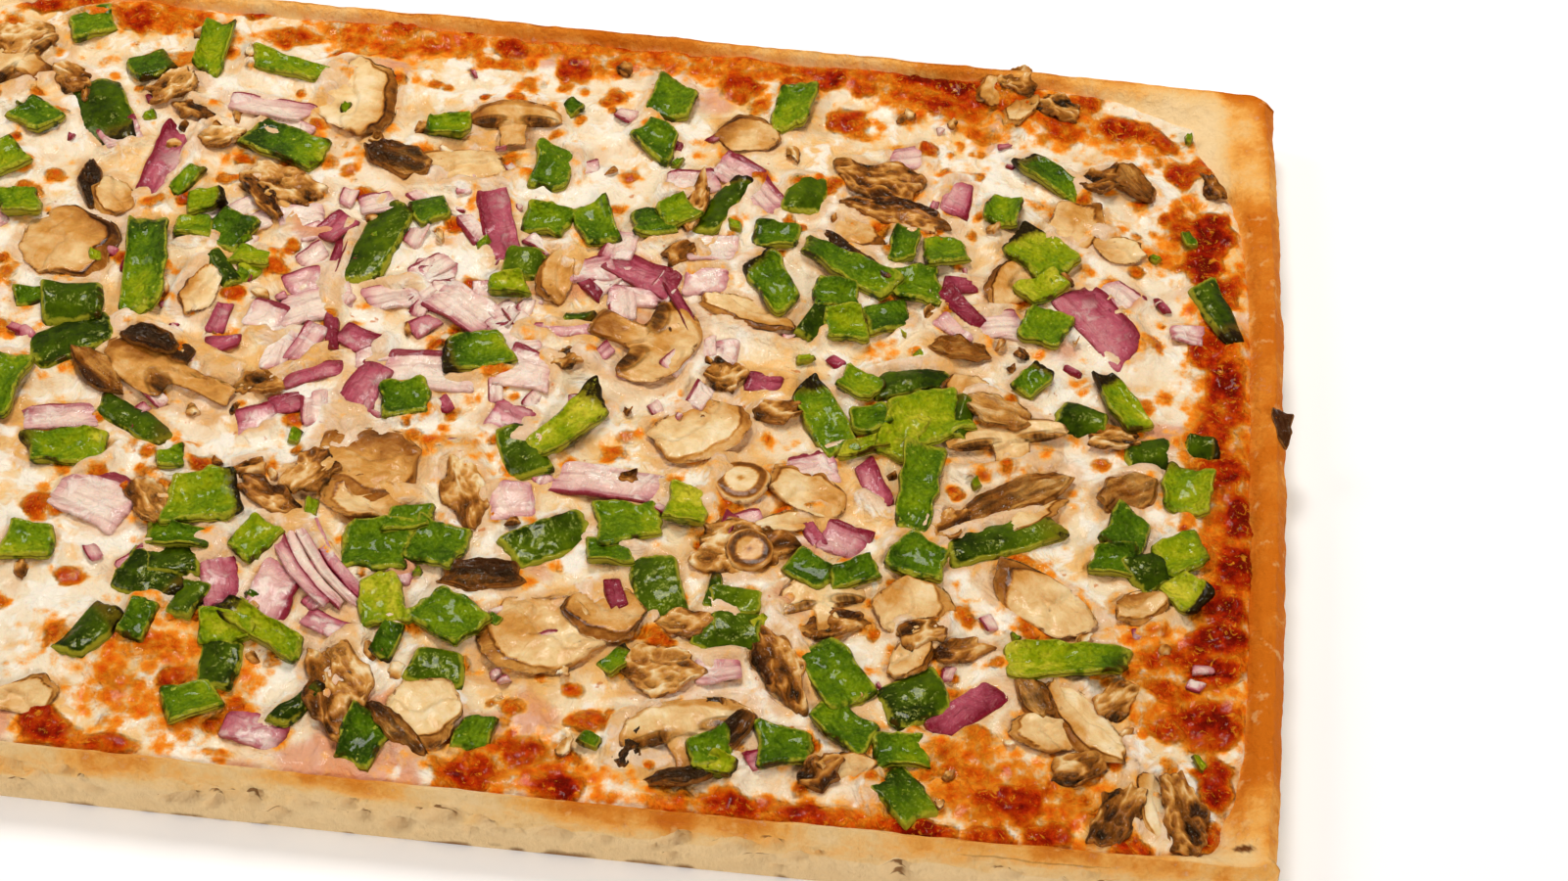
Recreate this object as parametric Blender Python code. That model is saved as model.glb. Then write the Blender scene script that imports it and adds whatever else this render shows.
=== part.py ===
"""A vegetable pizza baked in a rectangular pan: a thick crust with a raised rim, a layer
of sauce, a layer of melted cheese, and pieces of green pepper, red onion and mushroom.

+X runs along the long side, +Y points away from the front side and +Z up. The origin is
the middle of the crust's underside.
"""
import math

import bmesh
import bpy
from mathutils import Vector, noise
from mathutils.bvhtree import BVHTree

MM = 0.001

# Driving dimensions, in metres
LENGTH = 0.457
WIDTH = 0.305
CREST_HEIGHT = 25 * MM
CORNER_RADIUS = 6 * MM
RIM_END = 14.5 * MM
RIM_SIDE = 6.8 * MM
FLOOR_HEIGHT = 13.5 * MM
SAUCE_DEPTH = 1.3 * MM
CHEESE_HEIGHT = 20.6 * MM
CHEESE_INSET = 2.2 * MM
BOW_END = 3.5 * MM
BOW_SIDE = 1.5 * MM
GAP = 0.3 * MM
SINK = 1.6 * MM
BITE = 1.5 * MM

# Cells along and across the layers
CELLS_LONG = 40
CELLS_WIDE = 27

# Rings of the crust from its lower edge up over the rim to its floor: the share of the
# rim's width on the ends and on the sides, the height, and how uneven the ring is
CRUST_RINGS = [
    (0.055, 0.12, 0.0, 0.0),
    (0.0, 0.0, 2.5 * MM, 0.0),
    (0.05, 0.11, 13.0 * MM, 0.5 * MM),
    (0.08, 0.15, 21.0 * MM, 0.7 * MM),
    (0.30, 0.38, CREST_HEIGHT, 0.7 * MM),
    (0.70, 0.74, 23.3 * MM, 0.5 * MM),
    (1.0, 1.0, FLOOR_HEIGHT, 0.0),
]

# Corners where the topping stops short and the dough is bare: x, y, radius and depth
BARE_CORNERS = [
    (216 * MM, 143 * MM, 38 * MM, 17 * MM),
    (214 * MM, -144 * MM, 20 * MM, 8 * MM),
    (-216 * MM, 143 * MM, 26 * MM, 9 * MM),
    (-215 * MM, -144 * MM, 24 * MM, 8 * MM),
]

# Pieces of topping that are solids of their own. Each row: x, y, length, width and the
# turn of the length from +X, in millimetres and degrees, then the taper of the width
PEPPER_THICK = 4.6 * MM
PEPPERS = [
    (-131, 31, 38, 12.5, -80, 0.0),
    (-144, 0, 28, 15, 30, -0.1),
    (-163, -24, 28, 16, 80, 0.1),
    (-119.5, -31.5, 23, 10.5, -28, -0.2),
    (-137, -44.5, 26, 12.5, 3, -0.1),
    (-92, -57.5, 19, 17, 15, 0.0),
    (-61, 50, 37, 12, 77, 0.15),
    (-96, 84, 26, 13, -20, -0.2),
    (-158, 94, 27, 15, -60, 0.0),
    (89, 56.5, 28, 10.5, -27, -0.15),
    (150, 69, 25, 18, -42, 0.0),
    (111, 14, 26, 13, 22, -0.1),
    (85, -4, 30, 10.5, -65, 0.3),
    (119, -1, 18, 15, 30, 0.0),
    (117, -29.5, 31, 12.5, 85, 0.0),
    (141, -44, 32, 12, 28, 0.1),
    (9.5, -60, 23, 13, 35, -0.1),
    (-39, -68, 19, 16, 0, 0.0),
    (44.5, -72, 23, 13, -80, -0.1),
    (97.5, -97, 25, 13, -50, 0.0),
    (163, -85, 31, 11, 3, 0.1),
    (-191, 66, 26, 14, 35, -0.1),
    (-186, -62, 30, 12, -40, 0.1),
]

ONION_THICK = 3.4 * MM
ONIONS = [
    (-134, 75, 29, 10.5, 82, 0.1),
    (-24, 61.5, 32, 10.5, -72, 0.0),
    (25, 46, 22, 12, -22, -0.1),
    (170, 44, 27, 14, -50, 0.1),
    (24.5, -37.5, 34, 10.5, -3, 0.1),
    (-55, -78, 36, 13, -50, 0.0),
    (-83, -83, 20, 10.5, -70, 0.2),
    (-66.5, -89, 17, 13, 80, 0.1),
    (-122, -62, 22, 18, -20, 0.0),
    (-106.5, 102, 30, 8.5, -5, 0.0),
    (-190, 14, 30, 12, 65, 0.1),
    (134, -105.5, 27, 9, 43, 0.0),
]

MUSHROOM_THICK = 5.8 * MM
MUSHROOM_DISCS = [
    (-77, 110, 24, 34, 0, 0.0),
    (-156, 36, 30, 27, -10, 0.0),
    (97, 95.5, 28, 15, -10, 0.2),
    (-47, -38, 34, 25, -15, 0.0),
    (11, -94.5, 32, 26, 20, 0.1),
    (50, -14, 32, 21, 30, 0.1),
    (118, -71, 21, 19, 80, 0.1),
    (81, -96, 28, 11, -65, 0.2),
    (-41, 84.5, 34, 15, 8, 0.0),
    (104, 80.5, 35, 9, -12, 0.0),
    (146, -27, 36, 8, 33, 0.0),
    (156, -64, 39, 16.5, -35, 0.0),
    (169, -104, 30, 12, -47, 0.0),
    (-42, -117.5, 37, 16, -67, 0.0),
    (-198, -20, 26, 24, 40, 0.1),
]
MUSHROOM_SLICES = [
    (-25, 106, 19, 29, 95, 0.0),
    (29, 20, 32, 34, -20, 0.0),
    (143, -7, 15, 33, 105, 0.0),
    (92, -73, 17, 26, 110, 0.0),
    (59, -122, 21, 38, 112, 0.0),
    (-114, -12, 44, 22, 158, 0.0),
    (-190, 112, 20, 32, 150, 0.0),
]

# Smaller pieces, fused to the cheese. The rows are as above
SMALL_THICK = 3.0 * MM
SMALL_PIECES = [
    (-129.5, 125, 20, 9, 85, 0.1),
    (-118, 46, 11, 9, 10, 0.0),
    (-106, 49, 12, 11, -30, 0.0),
    (-98, 37, 11, 8, -10, 0.0),
    (-107, 30, 12, 6, -48, 0.0),
    (-47, 99, 15, 9, 5, 0.1),
    (-9, 88, 15, 14, 80, 0.0),
    (24.5, 122.5, 17, 13, 80, 0.0),
    (22, 103.5, 14, 11, -30, 0.1),
    (65, 125, 17, 10, 80, 0.0),
    (151, 104.5, 25, 9, -35, 0.2),
    (136, 87, 12, 10, 80, 0.0),
    (73, 86, 15, 13, 80, 0.0),
    (47, 79, 25, 7, 65, 0.1),
    (27, 68, 14, 12, 10, 0.0),
    (-8, 63, 14, 12, -15, 0.0),
    (7, 65, 15, 12, -60, 0.0),
    (65, 67, 12, 10, 0, 0.0),
    (105, 68, 12, 9, 90, 0.0),
    (117.5, 68, 13, 11, 0, 0.0),
    (-45, 64, 9, 7, 30, 0.2),
    (-12, 45.5, 10, 9, 85, 0.0),
    (65, 47, 23, 10, -55, 0.1),
    (110.5, 51.5, 13, 11, 10, 0.0),
    (87, 43.5, 12, 9, 0, 0.0),
    (104, 37, 14, 10, 25, 0.0),
    (80, 31, 13, 8, 62, 0.0),
    (151, 37, 13, 12, 80, 0.0),
    (205, 54, 22, 6.5, -65, 0.1),
    (-22, 8, 16, 14, 20, 0.1),
    (165.5, 4.5, 14, 10, -10, -0.3),
    (176, 13, 19, 7, -60, 0.1),
    (147.5, 16, 12, 10, 60, 0.0),
    (-40, -13.5, 13, 12, 20, 0.0),
    (-2, -29, 17, 12, -60, 0.0),
    (11, -17, 23, 9.5, 55, 0.0),
    (32, -52, 14, 11, 0, 0.0),
    (49, -43, 12, 12, 0, 0.0),
    (28, -64, 10, 7, 0, 0.0),
    (-20, -66, 14, 13, 0, 0.0),
    (119.5, -53, 13, 10, -25, 0.0),
    (86.5, -60.5, 12, 7, -30, 0.0),
    (185.5, -7, 14, 11, 15, 0.0),
    (200.5, -1, 9, 8, 0, 0.0),
    (196, -17, 14, 10, 85, 0.1),
    (180, -37, 12, 10, 70, 0.0),
    (175, -49, 11, 9, 0, 0.0),
    (187.5, -50, 12, 10, 30, 0.0),
    (67, -77, 12, 8, 10, 0.0),
    (64, -89, 14, 12, -20, 0.0),
    (-74.5, -67.5, 10, 7, 60, 0.0),
    (-97, -73.5, 17, 7, 0, 0.0),
    (-100, -87, 17, 11, -30, 0.1),
    (-139, -80, 13, 11, 0, 0.0),
    (-115, -108, 15, 9, 60, 0.0),
    (-75.5, -115, 15, 11, 88, 0.0),
    (-81, -129, 13, 9, 30, 0.0),
    (-33.5, -88, 14, 10, -70, 0.2),
    (-14, -108, 13, 11, -5, 0.0),
    (-30, -135.5, 12, 9, -80, 0.0),
    (0, -128, 12, 10, 80, 0.0),
    (120, -99, 14, 11, 40, 0.0),
    (103, -115.5, 15, 10, -35, 0.0),
    (86, -123, 12, 10, 0, 0.0),
    (120, -135, 16, 11, -50, 0.1),
    (-106, 122, 22, 8, -12, 0.0),
    (-77, 20, 15, 14, 30, 0.0),
    (-74.5, 54, 9, 9, 10, 0.0),
    (-58, 8, 12, 8, -20, 0.0),
    (-55, -10, 21, 10, 72, 0.0),
    (-70, -6, 17, 5, 25, 0.0),
    (-83, -26, 10, 8, 20, 0.0),
    (-29, 26, 17, 12, -35, 0.0),
    (-52, 28, 12, 8, 20, 0.2),
    (-5, 3, 14, 11, 0, 0.0),
    (-8, -15, 12, 9, -20, 0.0),
    (44, 47, 11, 9, 0, 0.0),
    (125, 45, 16, 5, -45, 0.0),
    (-3, -47, 12, 11, 0, 0.0),
    (67, 7, 10, 5, 0, 0.0),
    (103, -28, 15, 6, -65, 0.0),
    (-61, -133, 15, 10, -10, 0.1),
    (137, 55, 16, 10, 70, 0.1),
    (-93, 66, 20, 10, -10, 0.0),
    (-112, 21, 13, 6, 80, 0.2),
    (60, 33, 22, 8, -20, 0.0),
    (65, -30, 14, 13, 0, 0.0),
    (69, -57, 13, 13, 0, 0.0),
    (85, -31, 16, 11, -40, 0.0),
    (-17, -46, 22, 9, -70, 0.0),
    (49, -103, 18, 13, 0, 0.0),
    (-19, -124, 15, 14, -40, 0.0),
    (33.5, -83, 13, 11, 20, 0.0),
    (50, 110.5, 19, 14, 10, 0.0),
    (161, 87, 15, 14, 0, 0.0),
    (178, 104, 17, 9, -50, 0.0),
    (126, 27, 18, 7, -10, 0.0),
    (154.5, -109.5, 12, 8.5, -10, 0.0),
    (169, -122, 13, 9, 30, 0.0),
    (180, -133, 16, 9, 60, 0.0),
    (198, -132, 20, 9, -70, 0.1),
    (178, -22, 17, 8, 30, 0.0),
    (-13.5, -89, 13, 9, -30, 0.0),
    (-148, 114, 10, 9, 0, 0.0),
    (-75.5, -102, 10, 8, 0, 0.0),
    (-105, -44, 9, 7, 0, 0.0),
    (118.5, -120, 12, 9, 0, 0.0),
    (192, -34, 13, 10, 85, 0.0),
    (173, 76.5, 15, 10, 0, 0.0),
    (129, 138, 12, 9, 80, 0.0),
    (140, 133, 15, 8, 60, 0.0),
    (-138, 106, 14, 7, 40, 0.0),
    (-126, -131, 17, 9, 20, 0.0),
]
SMALL_SIDES = 8
SHORTENED = (1.0, 0.85, 0.7, 0.55)

# The edge of a mushroom slice of unit length and width, crown first: half of it, from the
# crown round the cap's lip and the gills to the foot of the stem
SLICE_HALF = [
    (0.5, 0.0),
    (0.40, 0.33),
    (0.08, 0.5),
    (-0.10, 0.42),
    (-0.06, 0.17),
    (-0.28, 0.13),
    (-0.5, 0.15),
]


def clear_scene():
    """Removes the objects of the startup scene."""
    for thing in list(bpy.data.objects):
        bpy.data.objects.remove(thing, do_unlink=True)


def material(name, colour, roughness):
    """A food surface of one colour."""
    made = bpy.data.materials.new(name)
    made.use_nodes = True
    shader = made.node_tree.nodes["Principled BSDF"]
    shader.inputs["Base Color"].default_value = (*colour, 1.0)
    shader.inputs["Roughness"].default_value = roughness
    shader.inputs["Metallic"].default_value = 0.0
    return made


def add_object(name, mesh_data, finish, collection):
    """Turns a bmesh into an object with its material."""
    mesh = bpy.data.meshes.new(name)
    mesh_data.to_mesh(mesh)
    mesh_data.free()
    mesh.materials.append(finish)
    made = bpy.data.objects.new(name, mesh)
    collection.objects.link(made)
    return made


def ring_point(u, v, half_length, half_width):
    """A point of the unit square laid on a rectangle with round corners and bowed sides."""
    x = u * half_length
    y = v * half_width
    radius = CORNER_RADIUS
    past_x = (abs(x) - half_length + radius) / radius
    past_y = (abs(y) - half_width + radius) / radius
    if past_x > 0 and past_y > 0:
        round_x = past_x * math.sqrt(1 - past_y * past_y / 2)
        round_y = past_y * math.sqrt(1 - past_x * past_x / 2)
        x = math.copysign(half_length - radius + radius * round_x, x)
        y = math.copysign(half_width - radius + radius * round_y, y)
    share_x = x / (LENGTH / 2)
    share_y = y / (WIDTH / 2)
    return (
        x - BOW_END * share_x * share_y * share_y,
        y - BOW_SIDE * share_y * share_x * share_x,
    )


def pulled_in(x, y):
    """Moves a point of the topping's edge away from the corners that stay bare."""
    for corner_x, corner_y, radius, depth in BARE_CORNERS:
        away = math.hypot(x - corner_x, y - corner_y) / radius
        push = depth * math.exp(-away * away) / math.hypot(corner_x, corner_y)
        x -= corner_x * push
        y -= corner_y * push
    return x, y


def edge_squares():
    """The points round the unit square, as the grid of the layers meets its edge."""
    points = []
    for step in range(CELLS_LONG):
        points.append((-1 + 2 * step / CELLS_LONG, -1))
    for step in range(CELLS_WIDE):
        points.append((1, -1 + 2 * step / CELLS_WIDE))
    for step in range(CELLS_LONG):
        points.append((1 - 2 * step / CELLS_LONG, 1))
    for step in range(CELLS_WIDE):
        points.append((-1, 1 - 2 * step / CELLS_WIDE))
    return points


def edge_ring(inset_end, inset_side, height, uneven=0.0, seed=0.0, pull=0.0):
    """One ring of points round the pizza, set in from its outer edge."""
    ring = []
    for u, v in edge_squares():
        x, y = ring_point(u, v, LENGTH / 2 - inset_end, WIDTH / 2 - inset_side)
        if pull:
            pulled_x, pulled_y = pulled_in(x, y)
            x += (pulled_x - x) * pull
            y += (pulled_y - y) * pull
        ripple = noise.noise(Vector((x * 34, y * 34, seed)))
        swing = noise.noise(Vector((x * 12, y * 12, seed + 7.0)))
        shift = 1 + uneven * (ripple + swing) / math.hypot(x, y)
        ring.append((x * shift, y * shift, height + 0.6 * uneven * (ripple - swing)))
    return ring


def lathe_rings(rings):
    """A closed body through rings of points, from its bottom to its top."""
    bm = bmesh.new()
    loops = []
    for ring in rings:
        loops.append([bm.verts.new(point) for point in ring])
    count = len(loops[0])
    for lower, upper in zip(loops, loops[1:]):
        for index in range(count):
            after = (index + 1) % count
            bm.faces.new((lower[index], lower[after], upper[after], upper[index]))
    bm.faces.new(list(reversed(loops[0])))
    bm.faces.new(loops[-1])
    bmesh.ops.triangulate(bm, faces=bm.faces[:])
    bmesh.ops.recalc_face_normals(bm, faces=bm.faces[:])
    return bm


def crust_body():
    """The baked dough: its outer wall, its raised rim and the floor inside the rim."""
    rings = []
    for share_end, share_side, height, uneven in CRUST_RINGS:
        inner = max(0.0, (share_side - 0.55) / 0.45)
        rings.append(edge_ring(share_end * RIM_END, share_side * RIM_SIDE, height, uneven, 3.0, inner))
    return lathe_rings(rings)


def sauce_body():
    """A thin layer on the crust's floor, whose edge stands up round the cheese."""
    bottom = FLOOR_HEIGHT + GAP
    top = bottom + SAUCE_DEPTH
    lip = CHEESE_HEIGHT - 1.6 * MM
    outer = 0.7 * MM
    inner = CHEESE_INSET - 0.5 * MM
    rings = [
        edge_ring(RIM_END + outer, RIM_SIDE + outer, bottom, pull=1.0),
        edge_ring(RIM_END + outer, RIM_SIDE + outer, lip, pull=1.0),
        edge_ring(RIM_END + inner, RIM_SIDE + inner, lip, pull=1.0),
        edge_ring(RIM_END + inner, RIM_SIDE + inner, top, pull=1.0),
    ]
    return lathe_rings(rings)


def outline(kind, row):
    """The points round a piece of topping seen from above, in metres."""
    x, y, length, width, turn, taper = row
    if kind == "slice":
        mirrored = [(a, -b) for a, b in reversed(SLICE_HALF[1:])]
        shape = SLICE_HALF + mirrored
    else:
        corner = {"pepper": 5.0, "onion": 3.6, "disc": 2.2, "small": 4.0}[kind]
        count = SMALL_SIDES if kind == "small" else 12
        shape = []
        for index in range(count):
            angle = 2 * math.pi * (index + 0.5 * (kind == "small")) / count
            across = abs(math.cos(angle)) ** (2 / corner) * math.copysign(0.5, math.cos(angle))
            along = abs(math.sin(angle)) ** (2 / corner) * math.copysign(0.5, math.sin(angle))
            shape.append((across, along))
    cos_turn = math.cos(math.radians(turn))
    sin_turn = math.sin(math.radians(turn))
    points = []
    for a, b in shape:
        wobble = 1 + 0.07 * noise.noise(Vector((a * 3 + x, b * 3 + y, 5.0)))
        a_mm = a * length * wobble
        b_mm = b * width * wobble * (1 + taper * 2 * a)
        points.append((
            (x + a_mm * cos_turn - b_mm * sin_turn) * MM,
            (y + a_mm * sin_turn + b_mm * cos_turn) * MM,
        ))
    return points


def inside(x, y, loop):
    """True where the point lies inside the closed loop."""
    found = False
    before = loop[-1]
    for after in loop:
        if (after[1] > y) != (before[1] > y):
            cross = before[0] + (y - before[1]) * (after[0] - before[0]) / (after[1] - before[1])
            if x < cross:
                found = not found
        before = after
    return found


def grown(loop, margin):
    """The loop moved outwards from its middle by a margin."""
    middle_x = sum(p[0] for p in loop) / len(loop)
    middle_y = sum(p[1] for p in loop) / len(loop)
    moved = []
    for x, y in loop:
        reach = math.hypot(x - middle_x, y - middle_y)
        factor = (reach + margin) / reach
        moved.append((middle_x + (x - middle_x) * factor, middle_y + (y - middle_y) * factor))
    return moved


def cheese_height(x, y):
    """The height of the melted cheese, which rises and falls by about a millimetre."""
    broad = noise.noise(Vector((x * 22, y * 22, 1.0)))
    fine = noise.noise(Vector((x * 60, y * 60, 4.0)))
    return CHEESE_HEIGHT + (1.1 * broad + 0.5 * fine) * MM


def cheese_body(loops):
    """The layer of cheese, with a shallow hollow under each piece that lies on it."""
    bm = bmesh.new()
    bmesh.ops.create_grid(bm, x_segments=CELLS_LONG, y_segments=CELLS_WIDE, size=1.0)
    bm.verts.ensure_lookup_table()
    hollows = [grown(loop, 2.0 * MM) for loop in loops]
    half_length = LENGTH / 2 - RIM_END - CHEESE_INSET
    half_width = WIDTH / 2 - RIM_SIDE - CHEESE_INSET
    for vert in bm.verts:
        u, v = vert.co.x, vert.co.y
        x, y = ring_point(u, v, half_length, half_width)
        x, y = pulled_in(x, y)
        z = cheese_height(x, y)
        if any(inside(x, y, loop) for loop in hollows):
            z -= SINK
        if max(abs(u), abs(v)) > 0.999:
            z -= 1.4 * MM
        vert.co = (x, y, z)
    edge = [e for e in bm.edges if e.is_boundary]
    wall = bmesh.ops.extrude_edge_only(bm, edges=edge)
    low = [item for item in wall["geom"] if isinstance(item, bmesh.types.BMVert)]
    for vert in low:
        vert.co.z = FLOOR_HEIGHT + GAP + SAUCE_DEPTH + GAP
    under = [e for e in bm.edges if e.is_boundary]
    bmesh.ops.edgeloop_fill(bm, edges=under)
    bmesh.ops.triangulate(bm, faces=bm.faces[:])
    bmesh.ops.recalc_face_normals(bm, faces=bm.faces[:])
    return bm


def piece_body(kind, row, thick):
    """A piece of topping about its own middle: two fans of triangles and a rim."""
    loop = outline(kind, row)
    count = len(loop)
    middle = Vector((row[0] * MM, row[1] * MM, 0.0))
    bm = bmesh.new()
    bmesh.ops.create_circle(bm, cap_ends=True, cap_tris=True, segments=count, radius=1.0)
    bm.verts.ensure_lookup_table()
    rim = sorted((v for v in bm.verts if v.is_boundary), key=lambda v: v.index)
    hub = next(v for v in bm.verts if not v.is_boundary)
    for vert, point in zip(rim, loop):
        vert.co = (*point, 0.0)
    hub.co = middle
    if kind == "slice":
        hub.co.x += 0.12 * row[2] * math.cos(math.radians(row[4])) * MM
        hub.co.y += 0.12 * row[2] * math.sin(math.radians(row[4])) * MM
    bmesh.ops.recalc_face_normals(bm, faces=bm.faces[:])
    top = bmesh.ops.extrude_face_region(bm, geom=bm.faces[:], use_keep_orig=True)
    lifted = [item for item in top["geom"] if isinstance(item, bmesh.types.BMVert)]
    for vert in lifted:
        spread = (vert.co - middle).to_2d().length
        vert.co.z += thick if spread < 2 * MM else thick * 0.82
    bmesh.ops.recalc_face_normals(bm, faces=bm.faces[:])
    return bm


def settle(bm, base):
    """Lowers a piece until it lies just above the base, and returns it."""
    drop = 1.0
    down = Vector((0, 0, -1))
    for vert in bm.verts:
        hit = base.ray_cast(Vector((vert.co.x, vert.co.y, 0.1)), down)
        if hit[0] is not None:
            drop = min(drop, vert.co.z - hit[0].z)
    for face in bm.faces:
        for share in (0.25, 0.5, 0.75):
            for corner in face.verts:
                spot = corner.co.lerp(face.calc_center_median(), share)
                hit = base.ray_cast(Vector((spot.x, spot.y, 0.1)), down)
                if hit[0] is not None:
                    drop = min(drop, spot.z - hit[0].z)
    bmesh.ops.translate(bm, verts=bm.verts[:], vec=Vector((0, 0, GAP * 1.4 - drop)))
    return bm


def topping_rows():
    """Every piece with a solid of its own: its name, outline kind, row and thickness."""
    rows = []
    for index, row in enumerate(PEPPERS):
        rows.append((f"pepper_{index + 1:02d}", "pepper", row, PEPPER_THICK))
    for index, row in enumerate(ONIONS):
        rows.append((f"onion_{index + 1:02d}", "onion", row, ONION_THICK))
    for index, row in enumerate(MUSHROOM_DISCS + MUSHROOM_SLICES):
        kind = "disc" if index < len(MUSHROOM_DISCS) else "slice"
        rows.append((f"mushroom_{index + 1:02d}", kind, row, MUSHROOM_THICK))
    return rows


def row_that_fits(row, taken):
    """The row of a small piece, made shorter where it would cross another, or None."""
    x, y, length, width, turn, taper = row
    for share in SHORTENED:
        shorter = (x, y, length * share, width * share, turn, taper)
        loop = outline("small", shorter)
        crossed = any(inside(*point, other) for other in taken for point in loop)
        covered = any(inside(*point, loop) for other in taken for point in other)
        if not crossed and not covered:
            return shorter
    return None


def fuse_small_pieces(cheese, finish, loops):
    """Joins the small pieces to the cheese, leaving out any that a larger one covers."""
    cutters = bpy.data.collections.new("small pieces")
    bpy.context.scene.collection.children.link(cutters)
    taken = [grown(loop, 1.0 * MM) for loop in loops]
    for index, listed in enumerate(SMALL_PIECES):
        row = row_that_fits(listed, taken)
        if row is None:
            continue
        loop = outline("small", row)
        taken.append(grown(loop, 0.4 * MM))
        lowest = min(cheese_height(x, y) for x, y in loop)
        bm = piece_body("small", row, SMALL_THICK + BITE)
        bmesh.ops.translate(bm, verts=bm.verts[:], vec=Vector((0, 0, lowest - BITE)))
        add_object(f"small {index}", bm, finish, cutters)
    join = cheese.modifiers.new("small pieces", "BOOLEAN")
    join.operation = "UNION"
    join.operand_type = "COLLECTION"
    join.collection = cutters
    join.solver = "EXACT"
    bpy.context.view_layer.update()
    graph = bpy.context.evaluated_depsgraph_get()
    joined = bpy.data.meshes.new_from_object(cheese.evaluated_get(graph))
    cheese.modifiers.clear()
    cheese.data = joined
    for thing in list(cutters.objects):
        bpy.data.objects.remove(thing, do_unlink=True)
    bpy.data.collections.remove(cutters)


def build_pizza():
    """Builds the three layers and then each larger piece of topping."""
    clear_scene()
    pizza = bpy.data.collections.new("vegetable pizza")
    bpy.context.scene.collection.children.link(pizza)
    dough = material("baked dough", (0.74, 0.46, 0.20), 0.75)
    red_sauce = material("tomato sauce", (0.45, 0.06, 0.015), 0.35)
    melted = material("melted cheese", (0.86, 0.70, 0.44), 0.4)
    finishes = {
        "pepper": material("green pepper", (0.08, 0.24, 0.02), 0.3),
        "onion": material("red onion", (0.52, 0.16, 0.26), 0.35),
        "disc": material("mushroom", (0.58, 0.40, 0.20), 0.55),
    }
    finishes["slice"] = finishes["disc"]
    rows = topping_rows()
    loops = [outline(kind, row) for _, kind, row, _ in rows]
    add_object("crust", crust_body(), dough, pizza)
    add_object("sauce", sauce_body(), red_sauce, pizza)
    layer = cheese_body(loops)
    base = BVHTree.FromBMesh(layer)
    cheese = add_object("cheese", layer, melted, pizza)
    for name, kind, row, thick in rows:
        body = settle(piece_body(kind, row, thick), base)
        add_object(name, body, finishes[kind], pizza)
    fuse_small_pieces(cheese, melted, loops)


build_pizza()
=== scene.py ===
"""The looks of a vegetable pizza baked in a rectangular pan: uneven dough, melted cheese
with browned blisters, and pieces of green pepper, red onion and mushroom.

Lengths in the tables are in millimetres and turns in degrees from +X. +X runs along the
long side, +Y away from the front side and +Z up.
"""
import math

import bmesh
import bpy
import numpy as np
from mathutils import Matrix, Vector, noise


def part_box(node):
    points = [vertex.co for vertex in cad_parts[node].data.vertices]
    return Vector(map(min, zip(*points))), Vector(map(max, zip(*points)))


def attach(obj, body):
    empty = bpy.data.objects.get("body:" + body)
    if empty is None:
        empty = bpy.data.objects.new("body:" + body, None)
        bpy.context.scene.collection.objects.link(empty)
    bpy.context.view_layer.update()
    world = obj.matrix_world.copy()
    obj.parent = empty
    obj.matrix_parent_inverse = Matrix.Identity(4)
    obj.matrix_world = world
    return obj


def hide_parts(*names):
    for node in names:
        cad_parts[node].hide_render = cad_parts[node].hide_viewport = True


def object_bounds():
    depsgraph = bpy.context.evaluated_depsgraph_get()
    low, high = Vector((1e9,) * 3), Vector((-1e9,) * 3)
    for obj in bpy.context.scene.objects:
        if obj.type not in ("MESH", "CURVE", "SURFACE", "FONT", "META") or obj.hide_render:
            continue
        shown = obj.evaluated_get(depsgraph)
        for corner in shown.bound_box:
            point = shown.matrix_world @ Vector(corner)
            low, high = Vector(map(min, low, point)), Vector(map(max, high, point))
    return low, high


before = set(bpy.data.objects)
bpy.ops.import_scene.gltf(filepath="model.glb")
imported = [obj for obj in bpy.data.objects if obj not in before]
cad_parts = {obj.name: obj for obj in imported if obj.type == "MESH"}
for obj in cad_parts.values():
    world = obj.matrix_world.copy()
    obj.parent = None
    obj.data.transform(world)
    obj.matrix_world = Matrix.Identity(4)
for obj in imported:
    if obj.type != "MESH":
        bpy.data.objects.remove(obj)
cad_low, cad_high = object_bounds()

MM = 0.001

# Main sizes; the half length, half width and top limit are read from the model
crust_low, crust_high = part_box("crust")
HALF_LONG = (crust_high.x - crust_low.x) / 2 / MM
HALF_WIDE = (crust_high.y - crust_low.y) / 2 / MM
TOP_LIMIT = cad_high.z / MM - 0.15
CREST = 25.0
CORNER_RADIUS = 6.0
RIM_END = 14.5
RIM_SIDE = 6.8
CHEESE_OVER_END = 3.4
CHEESE_OVER_SIDE = 2.2
CHEESE_LEVEL = 20.6
CHEESE_FOOT = 15.7
BOW_END = 3.5
BOW_SIDE = 1.5

# Corners where the topping stops short and the dough is bare: x, y, radius and depth
BARE_CORNERS = [
    (216, 143, 38, 17),
    (214, -144, 20, 8),
    (-216, 143, 26, 9),
    (-215, -144, 24, 8),
]

# The crust from its underside up over the rim to its floor: the share of the rim's width
# on the ends and on the sides, and the height
RIM_PROFILE = [
    (0.06, 0.14, 0.0),
    (0.0, 0.0, 2.0),
    (0.03, 0.08, 13.0),
    (0.06, 0.12, 21.0),
    (0.30, 0.38, CREST),
    (0.70, 0.76, 23.3),
    (1.05, 1.1, 16.0),
]

# How fine the large meshes are: points round the rim, stretches of its profile from point
# to point with the rings that each takes, and the cells of the cheese along and across
RIM_POINTS = 1160
RIM_RINGS = [(0, 1, 3), (1, 3, 42), (3, 6, 24)]
CHEESE_CELLS = (366, 248)

# The camera, fitted to the edges of the pizza in the photograph
IMAGE_WIDE = 1601
FOCAL_PIXELS = 3000
SENSOR_WIDE = 36.0
CAMERA_TILT = 52.0
CAMERA_SWING = 2.9045
CAMERA_ROLL = 3.3624
CAMERA_AWAY = 0.8871
CAMERA_AIM = (0.07506, -0.01333, 0.02)

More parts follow.
